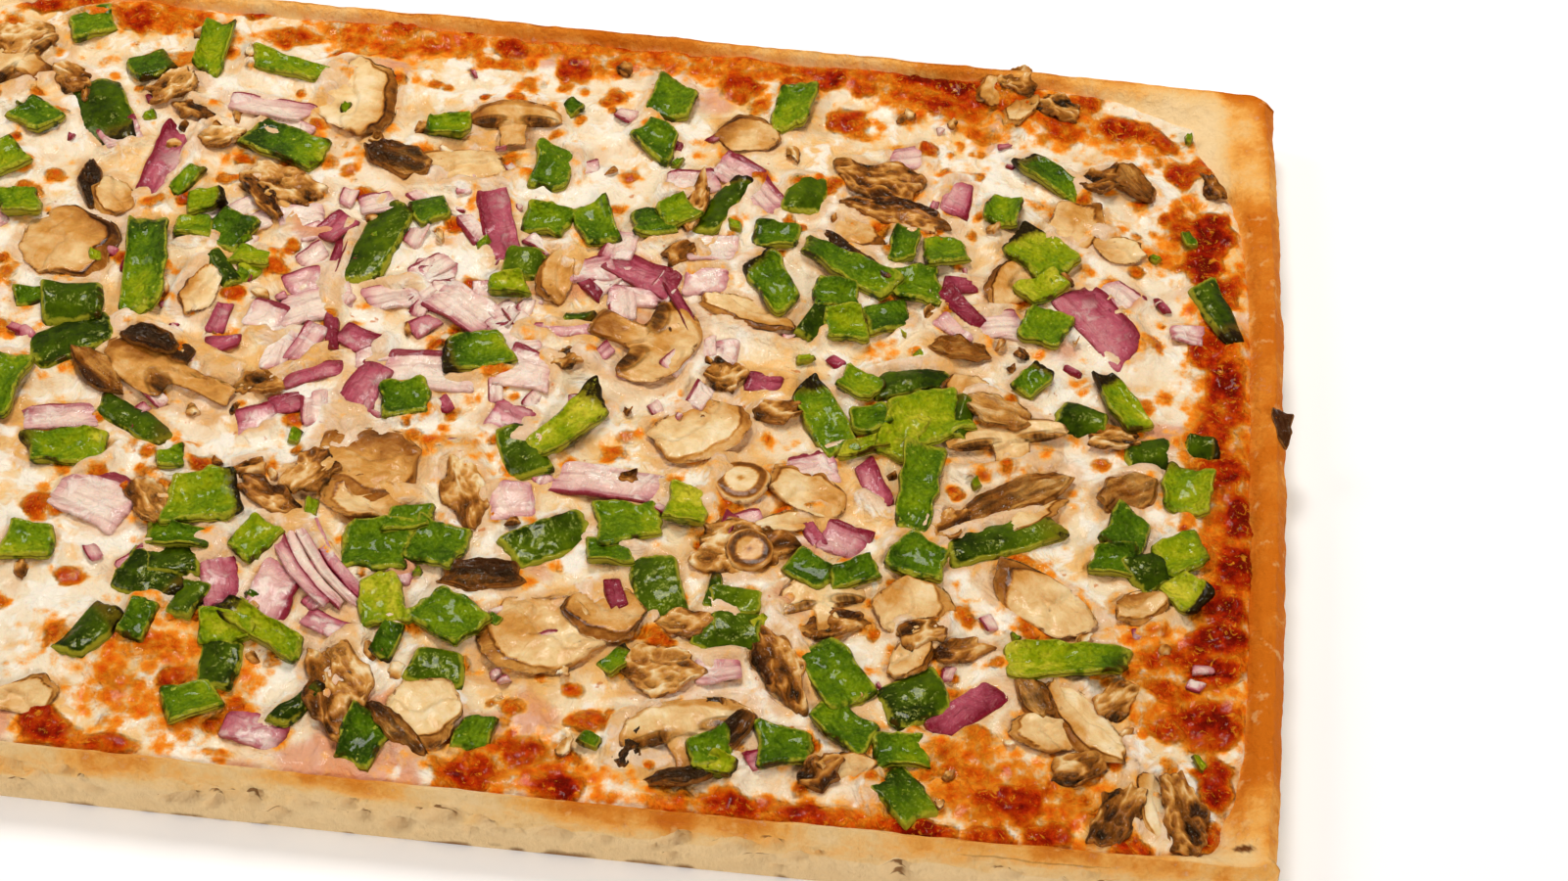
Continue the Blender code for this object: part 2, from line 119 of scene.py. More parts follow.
# Pieces with a node of their own, in the order of the nodes. A pepper's row: length,
# width, turn, how much of the outer skin is up, paleness, paleness gained along the
# length, and charring, which is at the far end of the length or, below 0, at the near end.
# What a row leaves out at its end is 0
PEPPER_NODES = [
    (39, 13, -80, 0, 0.3, 0.4),
    (28, 16, 30, 1, 0.15),
    (28, 16, 80, 0, 0.55, 0, 0.1),
    (23, 10.5, -28, 1, 0.25, 0, 0.3),
    (26, 13, 3, 0, 0.6, 0.25, -0.4),
    (21, 18, 15, 0, 0.7, 0, 0.5),
    (38, 12.5, 77, 1, 0.25, 0.15, 0.3),
    (26, 14, -20, 0.1, 0.2, 0.5),
    (27, 16, -60, 1, 0.1, 0, 0.5),
    (29, 11.5, -27, 0.2, 0.35, 0.2, -0.2),
    (26, 18, -42, 0.2, 0.7, -0.2, -0.7),
    (27, 13, 22, 1, 0.12),
    (32, 11.5, -65, 0.3, 0.3, 0.1, -0.9),
    (20, 16, 30, 0, 0.75),
    (32, 13.5, 85, 0.2, 0.4, 0.1),
    (34, 13, 28, 1, 0.2, 0.5, 0.3),
    (25, 14, 35, 0.7, 0.3),
    (20, 16.5, 0, 0, 0.3, 0.1),
    (24, 14, -80, 0.9, 0.35, 0.1),
    (26, 14, -50, 0.3, 0.25, 0.1),
    (33, 12.5, 3, 0, 0.7, -0.4, 0.2),
    (26, 14, 35, 0, 0.5, 0.2),
    (30, 12, -40, 1, 0.2, 0.1, 0.4),
]

# An onion's row: length, width, turn, purple, bend of the length, and the side that
# carries the dark skin: 1, -1 or 0 for neither
ONION_NODES = [
    (30, 11, 82, 0.75, 1, 1),
    (33, 11, -72, 0.8, 1, -1),
    (23, 13, -22, 0.8, 0.5, 1),
    (30, 15, -50, 0.75, 1, 1),
    (36, 11, -3, 0.25, 1.5, -1),
    (38, 13.5, -50, 0.45, 2, 1),
    (24, 12.5, -70, 0.65, 0.5, 1),
    (20, 14, 80, 0.35, 0.5, -1),
    (24, 20, -20, 0.1, 0.5, 1),
    (31, 9.5, -5, 0.15, 1, 1),
    (30, 12, 65, 0.5, 1, 1),
    (28, 9.5, 43, 0.9, 1, -1),
]

# A mushroom's row: length, width, turn, cut, brownness and crumple
MUSHROOM_NODES = [
    (26, 35, 0, "cap", 0.1, 0.2),
    (34, 28, -10, "cap", 0.25, 0.4),
    (28, 17, -10, "fold", 0.75, 1.2),
    (38, 28, -15, "cap", 0.3, 0.8),
    (40, 29, 20, "cap", 0.15, 0.6),
    (35, 23, 30, "cap", 0.1, 0.7),
    (24, 21, 80, "cap", 0.12, 0.3),
    (28, 13, -65, "fold", 0.8, 1.3),
    (38, 17, 8, "cap", 0.2, 0.7),
    (37, 11, -12, "fold", 0.85, 0.8),
    (38, 12, 33, "gill", 0.6, 0.9),
    (42, 19, -35, "cap", 0.12, 0.5),
    (35, 14, -50, "cap", 0.15, 0.5),
    (38, 17, -68, "fold", 0.55, 1.2),
    (26, 24, 40, "cap", 0.2, 0.5),
    (21, 31, 95, "slice", 0.35, 0.5),
    (34, 36, -20, "slice", 0.4, 0.7),
    (17, 40, 105, "slice", 0.25, 0.4),
    (19, 28, 110, "slice", 0.2, 0.4),
    (23, 42, 112, "slice", 0.2, 0.5),
    (46, 24, 158, "slice", 0.35, 0.5),
    (22, 34, 150, "slice", 0.3, 0.5),
]

# Smaller pieces that lie on the cheese: x and y, then what the rows above hold, then how
# far the piece is lifted
SMALL_PEPPERS = [
    (-129.5, 125.5, 21, 10.5, 85, 0, 0.75),
    (-149, 11, 16, 14, 10, 1, 0.1, 0, 0, 2),
    (-125, 67, 12, 5, 60, 0.3, 0.35, 0, 0.3),
    (-118, 46.5, 12, 9.5, 10, 0, 0.65),
    (-107, 48, 14, 13, -30, 0.2, 0.15),
    (-117, 57, 12, 9, 20, 0, 0.8, 0, 0.6, 0.5),
    (-98, 36.5, 12, 9, -10, 0, 0.65),
    (-106, 31, 15, 7, -48, 1, 0.12),
    (-47, 99, 15, 9, 5, 0, 0.45, 0.2, 0, 0.5),
    (-9, 88, 17, 14, 80, 0.2, 0.3, 0.1),
    (24.5, 122.5, 17, 14, 80, 0.3, 0.3, 0, 0.2),
    (22, 103.5, 15, 12, -30, 0.1, 0.35),
    (65, 125, 21, 12, 80, 0, 0.5, -0.2, 0.2),
    (151, 104.5, 26, 10, -35, 0, 0.35, 0.3, -0.6),
    (136, 86.5, 12, 10.5, 80, 0, 0.6),
    (73, 86, 17, 14, 85, 1, 0.4),
    (47, 79, 28, 8.5, 65, 0.8, 0.25, 0, 0.9, 0.3),
    (26, 67.5, 14, 13, 10, 0.2, 0.15),
    (32, 71, 11, 11, 40, 0, 0.65, 0, 0.2, 0.8),
    (-8, 63, 14, 13, -15, 0, 0.4),
    (7, 65, 16, 13, -60, 0.1, 0.45, -0.2),
    (65, 66.5, 13, 11, 0, 0.1, 0.2),
    (105.5, 68, 14, 10, 88, 0, 0.35),
    (117.5, 67.5, 14, 12, 10, 0.1, 0.4),
    (-45, 63.5, 11, 9, 30, 0.4, 0.25),
    (-14, 45, 12, 12, 85, 1, 0.35),
    (-17, 34, 14, 7, 10, 0, 0.8, 0, 0, 0.3),
    (65, 47, 24, 11.5, -55, 0, 0.35, 0.2, -0.6),
    (109.5, 52, 15, 14, 10, 0.2, 0.35),
    (86, 44.5, 13, 10.5, 0, 0, 0.3),
    (103, 38, 15, 12, 25, 0.3, 0.15),
    (80, 32.5, 15, 8.5, 62, 1, 0.1, 0, 0, 0.4),
    (91, 32, 12, 10.5, 10, 0, 0.65),
    (151.5, 38, 13, 13, 75, 0.2, 0.45),
    (205, 54, 25, 8, -65, 0.9, 0.05, 0, 0.5, 0.5),
    (150, 54.5, 15, 9, 40, 0, 0.95),
    (-22, 7.5, 20, 16, 20, 0.2, 0.3, 0.3, -0.5),
    (96, 9.5, 13, 10, -20, 0.1, 0.45, 0, 0, 0.3),
    (101, -5, 12, 10, 20, 0, 0.35),
    (99, -15, 15, 6, 20, 0, 0.95, 0, 0.3),
    (110.5, -8, 18, 13, 70, 0, 0.85, 0, 0, 0.6),
    (128.5, -1, 18, 7, 85, 0.9, 0.15, 0, 0.3, 1),
    (165.5, 3.5, 16, 12, -10, 1, 0.2, 0.3),
    (176, 11, 23, 8.5, -60, 0, 0.75, 0.1, -0.9, 0.3),
    (148, 16.5, 12, 10.5, 60, 0.2, 0.25, 0, 0.6, 0.4),
    (-40, -13.5, 15, 13, 20, 0, 0.35, 0.1),
    (-2, -29, 19, 13.5, -60, 0.9, 0.15),
    (11, -17, 27, 11.5, 55, 0, 0.8, 0.1, 0.5, 0.4),
    (32, -51, 18, 13.5, 10, 0, 0.5, 0.1),
    (49, -43.5, 14, 13.5, 0, 0, 0.9),
    (29, -62.5, 13, 9, 0, 0.1, 0.35),
    (-21, -66, 16, 15, -5, 0.1, 0.4, 0.1),
    (118.5, -54, 18, 13, -25, 0.2, 0.2),
    (86.5, -61.5, 14, 8.5, -30, 0.3, 0.2, 0, 0, 0.5),
    (100, -62, 14, 7.5, 30, 0.1, 0.35, 0, 0, 0.8),
    (185.5, -7, 17, 12, 15, 1, 0.25),
    (200.5, -1, 10, 9, 0, 1, 0.05, 0, 0.6),
    (196.5, -18, 19, 14, 80, 0, 0.7, -0.1, 0.4),
    (195, -43, 13, 11, 30, 0, 0.75, 0, 0.3),
    (197, -57, 11, 11, -40, 0, 1, 0, 0.7),
    (180, -37, 15, 13, 70, 0.2, 0.25),
    (175, -48.5, 14, 11, 0, 0.2, 0.2),
    (186.5, -50, 15, 13.5, 30, 1, 0, 0, 0.3, 0.6),
    (67, -76, 15, 10.5, 10, 0.6, 0.35, 0.3),
    (61, -86, 17, 10, 75, 1, 0.3),
    (69, -86, 14, 12.5, 10, 0.9, 0.25),
    (60, -73, 12, 4.5, 85, 0.8, 0, 0, 0.6),
    (-74, -70, 14, 11, 60, 0, 0.75),
    (-95, -72.5, 20, 9, 0, 0.2, 0.3),
    (-97, -81, 15, 10, 10, 0.9, 0.15, 0, 0, 0.4),
    (-102, -88, 20, 13, -30, 0.8, 0.1, 0, 0.5),
    (-101.5, -101, 13, 7.5, 80, 0.4, 0.3),
    (-89, -93, 14, 8.5, 75, 0.9, 0.25),
    (-139, -79.5, 15, 12.5, 0, 0, 0.55),
    (-115, -108, 17, 10.5, 60, 0.9, 0, 0.2, 0.4),
    (-75.5, -115.5, 17, 13, 88, 0.8, 0.15),
    (-75.5, -103, 13, 10, 10, 0, 0.6, 0, 0, 0.3),
    (-66, -102, 26, 8.5, -25, 0, 0.8, -0.2, -0.5, 0.4),
    (-81.5, -128, 16, 11.5, 30, 0, 0.35, 0.1),
    (-33.5, -88, 16, 12, -70, 0, 0.75, -0.2),
    (-30, -101, 13, 6, 75, 0.3, 0.25),
    (-14, -91.5, 18, 15, -30, 0.1, 0.4, 0.1, 0, 1),
    (-14, -108, 15.5, 13, -5, 0.9, 0.25),
    (-31, -134, 15, 12, 75, 0.3, 0.15, 0, 0.2),
    (0, -128, 12, 11, 80, 0.3, 0.3),
    (36, -100, 12, 7.5, 50, 0.3, 0.3, 0, 0.9),
    (121.5, -101.5, 18, 16, 30, 0.8, 0.15, 0.2),
    (102, -114, 18, 13, -35, 0.2, 0.4),
    (118.5, -120.5, 15, 11, 5, 0.3, 0.3, 0.3),
    (119.5, -135, 19, 14.5, -45, 0.5, 0.25, 0.3),
    (86, -122.5, 14, 13.5, 0, 0.3, 0.2, 0, 0.2),
    (65, -126.5, 12, 9, 30, 0.3, 0.4, 0, 0, 0.6),
    (68, -131.5, 10, 7, -20, 0, 0.95, 0, 0.4, 0.3),
    (-51, -125, 18, 6.5, 52, 0.9, 0, 0, 0.5, 1),
    (7, 26, 10, 4, 10, 0.9, 0.15, 0, 0.4),
    (-161, 13, 11, 6, 20, 0.3, 0.35),
    (-103, 120.5, 26, 8, -12, 0, 0.65),
    (-148, 115, 12, 11, 30, 0.4, 0.15, 0, 0.3),
    (-31.5, -58.5, 14, 9, 10, 0.2, 0.35, 0, 0, 0.8),
    (-105, -44, 9, 7, 20, 0, 0.45),
    (-172, 132, 15, 12, 25, 0.3, 0.3),
    (-179, 88, 14, 12, -30, 0.1, 0.35),
    (-175, 50, 13, 11, 15, 0, 0.6),
    (-201, 44, 15, 12, 60, 0.9, 0.2),
    (-183, -2, 16, 12, -25, 0.2, 0.35, 0.2),
    (-177, -44, 14, 13, 40, 0.8, 0.2),
    (-199, -79, 14, 12, 5, 0, 0.55),
    (-166, -79, 15, 11, 70, 0.1, 0.3, 0, 0.3),
    (-161, -107, 16, 12, -15, 0.9, 0.15),
    (-187, -118, 15, 12, 35, 0.2, 0.4),
    (-146, -124, 13, 12, 60, 0, 0.45),
]

SMALL_ONIONS = [
    (-85, 56, 14, 12, 20, 0.05, 0.3, 0),
    (-74.5, 53.5, 11, 10, 60, 0.8, 0.3, 1, 0.3),
    (-71.5, 40, 18, 3.5, 85, 0.95, 0.5, 0, 0.3),
    (-79, 29, 15, 12, 30, 0.4, 0.5, 1),
    (-77, 20, 17, 15, 30, 0.1, 0.5, 1, 0.6),
    (-88.5, 13, 14, 12, -20, 0.1, 0.3, 1),
    (-82, 1, 19, 10, 85, 0.1, 0.5, -1),
    (-74, 5, 15, 9, 70, 0.35, 0.5, 1, 0.5),
    (-68, 14, 25, 4, -80, 0.95, 0.8, 0, 0.7),
    (-58, 8, 14, 9.5, -20, 0.75, 0.5, 1, 0.2),
    (-54.5, -10, 24, 12.5, 75, 0.75, 1, 1),
    (-70, -6, 20, 7, 25, 0.8, 0.8, 1, 0.3),
    (-74.5, -19, 11, 8, 20, 0.8, 0.3, 1),
    (-83.5, -25.5, 11, 9.5, 20, 0.55, 0.3, 1),
    (-102, 11, 13, 6, 88, 0.7, 0.3, 0),
    (-99.5, 1.5, 11, 5, 20, 0.8, 0.3, 0),
    (8, 46, 14, 11, 20, 0.35, 0.3, 1, 0.4),
    (8, 39, 14, 4, -40, 0.95, 0.5, 0, 0.6),
    (39, 32, 24, 4, -63, 0.95, 0.8, 0, 0.5),
    (4, 21, 21, 7, 10, 0.45, 0.8, 1),
    (-29, 25, 23, 17, -35, 0.15, 0.6, -1),
    (-52, 28, 16, 11, 20, 0.2, 0.3, 1),
    (-40, 17, 10, 8, 45, 0.55, 0.3, 1),
    (-10, 15, 16, 14, 15, 0.12, 0.3, 1),
    (-5, 3, 18, 15, -10, 0.12, 0.5, 1),
    (-35, -2, 30, 15, 5, 0.05, 0.6, 1, -0.4),
    (-8, -16, 15, 12.5, -20, 0.55, 0.4, 1),
    (-3, -47, 15, 13, 10, 0.25, 0.4, 0, -0.2),
    (44, 46.5, 14, 11, 10, 0.3, 0.4, 1),
    (45, 59, 16, 11, 10, 0.02, 0.3, 0),
    (124, 54, 11, 5, 10, 0.95, 0.3, 0, 0.2),
    (125, 45, 19, 6, -45, 1, 0.8, 0, 0.8),
    (124, 38, 15, 8.5, -40, 0.4, 0.5, 1),
    (137, 40, 15, 12, 10, 0.15, 0.5, 1),
    (175, 56.5, 12, 9, -40, 0.15, 0.3, 1, 0.3),
    (196, 43, 9, 7, 0, 0.3, 0.2, 0),
    (67, 7, 12, 6.5, 0, 0.85, 0.3, 0),
    (103.5, -28, 18, 8.5, -65, 0.8, 0.7, 1),
    (85, -24, 17, 12, 20, 0.25, 0.5, 1),
    (95, -50, 14, 10.5, -20, 0.5, 0.4, 1),
    (87, -48, 11, 4, -60, 0.85, 0.3, 0),
    (67, -46, 12, 8, 20, 0.3, 0.3, 1),
    (61.5, -48, 10, 4, 75, 0.85, 0.3, 0),
    (-141, -32, 25, 11, 10, 0.25, 0.6, 1, -0.2),
    (-32, -78, 10, 7, 0, 0.45, 0.2, 0),
    (-48, -97, 15, 8, -20, 0.55, 0.4, 1),
    (32, -76, 11, 6, -70, 0.95, 0.3, 0, 0.4),
    (64.5, -98.5, 12, 10, 10, 0.35, 0.3, 1),
    (-61.5, -133, 18, 12.5, -10, 0.6, 0.5, 1),
    (48, 93, 15, 12, -30, 0.3, 0.4, 1),
    (59, 84, 15, 11, -50, 0.35, 0.4, 1),
    (36, 87, 16, 10, 10, 0.2, 0.4, 1),
    (104, 108, 12, 10, 20, 0.3, 0.3, 1),
    (121, 91, 15, 10, 80, 0.55, 0.3, -1, 0.3),
    (-150, 84, 14, 10, 30, 0.2, 0.4, 1),
    (-97, 94, 17, 9, -20, 0.1, 0.4, 1),
    (-106, -82, 12, 8, 40, 0.3, 0.3, 1),
    (-187, 40, 17, 11, 50, 0.3, 0.5, 1),
    (-204, 92, 18, 11, 75, 0.6, 0.5, 1),
    (-166, -46, 16, 10, 20, 0.25, 0.5, 1),
    (-196, -43, 20, 9, -30, 0.7, 0.6, 1),
    (-176, -97, 18, 12, 65, 0.3, 0.5, 1),
    (-204, -104, 17, 10, 20, 0.45, 0.5, 1),
]

SMALL_MUSHROOMS = [
    (51, 111, 21, 16, 10, "cap", 0.2, 0.5),
    (129, 140, 13, 10, 80, "cap", 0.3, 0.5),
    (139, 133, 18, 9, 60, "cap", 0.3, 0.6),
    (138, 145, 13, 10, 20, "fold", 0.65, 1.2),
    (152, 136, 18, 11, -30, "fold", 0.75, 1.3),
    (160, 84, 20, 19, 0, "cap", 0.15, 0.6),
    (173, 76, 18, 12, -20, "cap", 0.1, 0.5, -0.3),
    (178, 104, 20, 11, -50, "gill", 0.5, 0.9),
    (167, 104, 17, 13, 20, "fold", 0.8, 1.4, 0.3),
    (-138, 107, 20, 12, 40, "fold", 0.45, 1.2),
    (-130, 98, 14, 9, -20, "fold", 0.6, 1.1),
    (-155, 61, 21, 7, -73, "gill", 0.95, 0.8, 0.3),
    (-147, 57, 20, 13, -60, "cap", 0.15, 0.5),
    (-111, 22, 21, 12, 80, "cap", 0.2, 0.5),
    (-94, 68, 28, 14, -10, "fold", 0.5, 1.1),
    (-99, 62, 22, 7, -48, "fold", 0.95, 0.7, 0.4),
    (-2.5, 41, 23, 11.5, 88, "cap", 0.25, 0.6),
    (38, 76, 22, 8.5, 85, "fold", 0.8, 0.9),
    (36, 54, 13, 11, 40, "fold", 0.75, 1.1),
    (60, 34, 32, 12.5, -18, "cap", 0.3, 0.6),
    (91, 61, 28, 6, -35, "gill", 0.9, 0.5, 0.3),
    (91, 71, 20, 12, -20, "cap", 0.15, 0.4),
    (139.5, 56, 22, 13.5, 70, "cap", 0.35, 0.4),
    (126, 27, 21, 9.5, -10, "gill", 0.55, 0.8, 0.3),
    (128, 12, 16, 11, 20, "cap", 0.25, 0.5),
    (140, 3, 22, 14, -20, "gill", 0.45, 1, 0.2),
    (179, -22, 21, 14, 30, "gill", 0.6, 1, 0.2),
    (175, -2, 16, 10, 10, "fold", 0.55, 0.9),
    (146, -34, 34, 12, 30, "cap", 0.1, 0.4, -0.2),
    (126, -40, 14, 10, 40, "fold", 0.65, 1),
    (72, -4, 14, 10, 10, "fold", 0.7, 1.1),
    (64, -31, 17, 17, 0, "ring", 0.2, 0.3),
    (84, -33, 25, 18, -40, "cap", 0.25, 0.7),
    (78, -45, 20, 9, 15, "cap", 0.1, 0.5),
    (66, -56, 29, 22, 10, "fold", 0.45, 0.9, -0.4),
    (69, -57.5, 14, 14, 0, "ring", 0.3, 0.2, 1.2),
    (-45, -52, 29, 15, -10, "cap", 0.3, 0.9),
    (-62, -44, 17, 14, 60, "fold", 0.6, 1.1),
    (-17, -45, 30, 13, -70, "fold", 0.4, 1.1),
    (-134, -15, 24, 10, -40, "gill", 0.55, 0.9, 0.2),
    (-121, -1, 18, 9, -20, "gill", 0.95, 0.9, 0.8),
    (-85, -13, 14, 7, 10, "fold", 0.5, 0.8),
    (-73, -55, 19, 10, -25, "fold", 0.55, 1),
    (-107, -62, 19, 11, -60, "fold", 0.5, 1),
    (-80.5, -45, 11, 7, 20, "fold", 0.6, 0.9),
    (30, -84, 23, 22, 10, "cap", 0.35, 0.5),
    (-7, -75, 27, 9, 6, "gill", 0.85, 1, 0.2),
    (122, -80, 14, 12, 20, "fold", 0.65, 1.2, 0.8),
    (119, -88, 18, 12, 60, "cap", 0.15, 0.5, 0.2),
    (95, -80, 20, 9, 20, "fold", 0.65, 1),
    (154, -97, 17, 8, -55, "gill", 0.6, 0.7),
    (157, -109, 21, 11.5, -10, "cap", 0.2, 0.4),
    (168, -119, 17, 12, 20, "fold", 0.8, 1.4),
    (178, -96, 14, 11, 40, "fold", 0.55, 1.2),
    (180, -132, 22, 13, 60, "fold", 0.95, 1.4),
    (197, -131, 25, 13, -70, "fold", 0.65, 1.4),
    (188, -128, 22, 10, -80, "cap", 0.1, 0.5),
    (184, -63, 16, 13, 20, "cap", 0.25, 0.6),
    (72, -119, 16, 8, 60, "gill", 0.98, 1, 0.5),
    (58, -136, 20, 7, 15, "gill", 0.98, 0.9, 0.4),
    (43, -128, 17, 8, 75, "gill", 0.9, 0.9, 0.2),
    (49, -102, 23, 18, 0, "fold", 0.5, 1.3),
    (53, -85, 15, 10, 10, "fold", 0.6, 0.8),
    (55, 7, 13, 11, 10, "fold", 0.6, 1),
    (103, -127, 16, 10, 10, "cap", 0.2, 0.6),
    (96, -130, 13, 9, 30, "fold", 0.75, 1.2),
    (133, -85, 17, 6.5, 20, "fold", 0.75, 0.8),
    (-16, -124, 24, 22, -40, "cap", 0.15, 0.6),
    (-22, -130, 23, 8, -38, "gill", 0.65, 0.9, 0.4),
    (-126, -131, 19, 10, 20, "cap", 0.15, 0.6),
    (6, 8, 12, 8, 10, "fold", 0.7, 1),
    (-60, 84, 24, 12, -20, "gill", 0.75, 1, 0.3),
    (-118, 86, 14, 9, 20, "fold", 0.4, 0.9),
    (204, 106, 12, 6.5, -60, "fold", 0.8, 1, 0.8),
    (-196, 123, 20, 14, 20, "fold", 0.5, 1.1),
    (-172, 108, 16, 10, -30, "fold", 0.6, 1.1),
    (-209, 10, 17, 11, 80, "fold", 0.55, 1.1),
    (-172, -122, 26, 17, 15, "cap", 0.2, 0.6),
    (-205, -62, 18, 12, 60, "fold", 0.6, 1.1),
]

# Browned cheese: x, y, length, width, turn and how dark it is; the broad orange areas
# first and then the single blisters
BLISTERS = [
    (208, -18, 30, 250, 0, 0.60), (194, -84, 52, 46, 0, 0.52), (197, 82, 34, 52, 0, 0.50),
    (20, 143, 240, 22, 0, 0.60), (112, 139, 120, 32, -8, 0.70), (170, 128, 60, 26, -25, 0.5),
    (148, -130, 78, 40, 0, 0.56), (84, -143, 96, 14, 0, 0.62), (-95, -120, 66, 56, 0, 0.46),
    (12, -138, 66, 24, 0, 0.55), (-70, 141, 90, 24, 0, 0.60), (-150, 139, 70, 22, 0, 0.6),
    (-209, 0, 26, 260, 0, 0.55), (-170, -137, 80, 22, 0, 0.5), (-112, -60, 30, 16, 20, 0.35),
    (-28, -28, 34, 12, 0, 0.35), (98, 24, 20, 12, 0, 0.3), (150, -52, 34, 16, -20, 0.4),
    (-157, 138, 20, 16, 0, 0.9), (-105, 137, 24, 12, 0, 0.8), (-84, 149, 9, 8, 0, 0.9),
    (-68, 145, 16, 14, 0, 1.0), (-70, 135, 14, 11, 0, 0.7), (-58, 138, 11, 10, 0, 0.8),
    (-33, 141, 14, 11, 0, 1.1), (-32, 133, 28, 7, 0, 0.6), (-9, 133, 18, 15, 0, 1.0),
    (-5, 148, 11, 9, 0, 0.9), (8, 148, 13, 10, 0, 0.9), (5, 135, 14, 12, 0, 0.5),
    (29, 148, 14, 11, 0, 0.9), (45, 133, 18, 15, 80, 0.9), (53, 125, 9, 8, 0, 0.7),
    (63, 143, 24, 7, 0, 0.8), (63, 137, 11, 9, 0, 0.8), (76, 141, 15, 12, 0, 1.0),
    (88, 137, 12, 9, 0, 0.9), (83, 122, 19, 15, 0, 0.9), (108, 144, 38, 9, -10, 1.2),
    (122, 134, 14, 11, 0, 0.9), (104, 127, 20, 12, 0, 0.5), (112, 133, 16, 12, 0, 1.0),
    (111, 112, 10, 9, 0, 0.7), (128, 121, 11, 9, 0, 0.7), (127, 102, 9, 8, 0, 0.6),
    (152, 130, 16, 13, 0, 0.9), (148, 148, 14, 9, 0, 0.8), (162, 142, 16, 12, 0, 0.9),
    (173, 130, 22, 17, 0, 1.0), (185, 127, 19, 9, -30, 0.9), (193, 112, 14, 12, 0, 0.9),
    (200, 115, 10, 10, 0, 0.7), (195, 88, 22, 18, 0, 0.8), (203, 88, 16, 24, 0, 1.2),
    (200, 73, 15, 22, 0, 1.3), (207, 60, 14, 22, 0, 1.0), (203, 40, 15, 22, 0, 1.0),
    (208, 25, 16, 24, 0, 1.25), (206, 8, 15, 18, 0, 1.0), (209, -10, 14, 22, 0, 1.1),
    (212, -25, 12, 22, 0, 1.25), (211, -45, 14, 22, 0, 1.25), (208, -60, 18, 18, 0, 1.1),
    (207, -72, 22, 14, 0, 1.25), (205, -82, 22, 15, 0, 1.1), (191, -78, 22, 13, 10, 0.8),
    (190, -90, 24, 12, -10, 0.8), (206, -100, 18, 20, 0, 1.15), (193, -103, 18, 12, 0, 0.8),
    (206, -120, 13, 24, 0, 1.1), (203, -137, 12, 12, 0, 0.9), (184, -144, 14, 9, 0, 1.0),
    (-118, -140, 20, 14, 0, 1.1), (-95, -110, 26, 16, 0, 0.6), (-88, -119, 12, 10, 0, 0.9),
    (-104, -122, 18, 12, 0, 0.6), (0, -141, 22, 15, 0, 1.0), (13, -132, 18, 15, 0, 0.9),
    (25, -142, 18, 12, 0, 1.2), (-100, -143, 20, 9, 0, 0.8), (-70, -143, 16, 7, 0, 0.5),
    (72, -142, 22, 9, 0, 1.1), (92, -143, 24, 9, 0, 1.1), (125, -144, 24, 7, 0, 1.3),
    (135, -122, 26, 16, 0, 0.6), (150, -132, 20, 15, 0, 1.0), (160, -141, 18, 11, 0, 1.0),
    (144, -144, 18, 8, 0, 0.9), (165, -128, 12, 9, 0, 0.6), (140, -112, 12, 9, 0, 0.6),
    (-110, 79, 8, 7, 0, 0.8), (-113, 70, 8, 6, 0, 0.7), (-68, 69, 9, 7, 0, 0.7),
    (-86, 44, 9, 7, 0, 0.7), (-89, 34, 8, 6, 0, 0.6), (-101, 22, 9, 7, 0, 0.7),
    (-37, 60, 10, 7, 0, 0.7), (-25, -28, 25, 7, 0, 0.5), (28, -18, 9, 7, 0, 0.6),
    (25, -25, 8, 6, 0, 0.6), (45, -91, 10, 8, 0, 0.7), (25, -110, 10, 8, 0, 0.7),
    (9, -118, 10, 8, 0, 0.7), (32, -120, 11, 9, 0, 0.8), (26, -132, 10, 8, 0, 0.8),
    (-95, -44, 9, 7, 0, 0.8), (-138, -65, 10, 8, 0, 0.8), (-113, -42, 8, 7, 0, 0.6),
    (-125, -88, 9, 8, 0, 0.7), (171, -11, 9, 7, 0, 0.7), (128, -27, 8, 7, 0, 0.7),
    (148, -62, 9, 7, 0, 0.6), (147, -50, 20, 9, -20, 0.6), (-140, 120, 16, 10, 0, 0.6),
    (-119, 146, 16, 9, 0, 0.9), (-45, 148, 14, 8, 0, 0.9), (132, 147, 16, 8, -8, 1.1),
    (-124, 60, 8, 6, 0, 0.7), (-133, 57, 8, 6, 0, 0.6), (-27, 118, 10, 7, 0, 0.6),
    (-150, -140, 24, 12, 0, 1.0), (-180, -141, 22, 10, 0, 0.9), (-205, -130, 12, 20, 0, 1.0),
    (-209, -95, 13, 22, 0, 1.1), (-211, -66, 12, 20, 0, 1.0), (-212, -40, 12, 22, 0, 1.2),
    (-212, -12, 12, 20, 0, 1.0), (-211, 28, 12, 24, 0, 1.1), (-211, 60, 12, 22, 0, 1.2),
    (-209, 88, 13, 22, 0, 1.0), (-204, 118, 14, 18, 0, 1.0), (-190, 142, 18, 10, 0, 1.0),
    (-175, 143, 14, 9, 0, 0.8), (-168, 66, 9, 7, 0, 0.7), (-181, -28, 9, 7, 0, 0.7),
    (-168, 2, 8, 7, 0, 0.6), (-155, -95, 10, 8, 0, 0.7), (-192, -92, 10, 8, 0, 0.8),
]

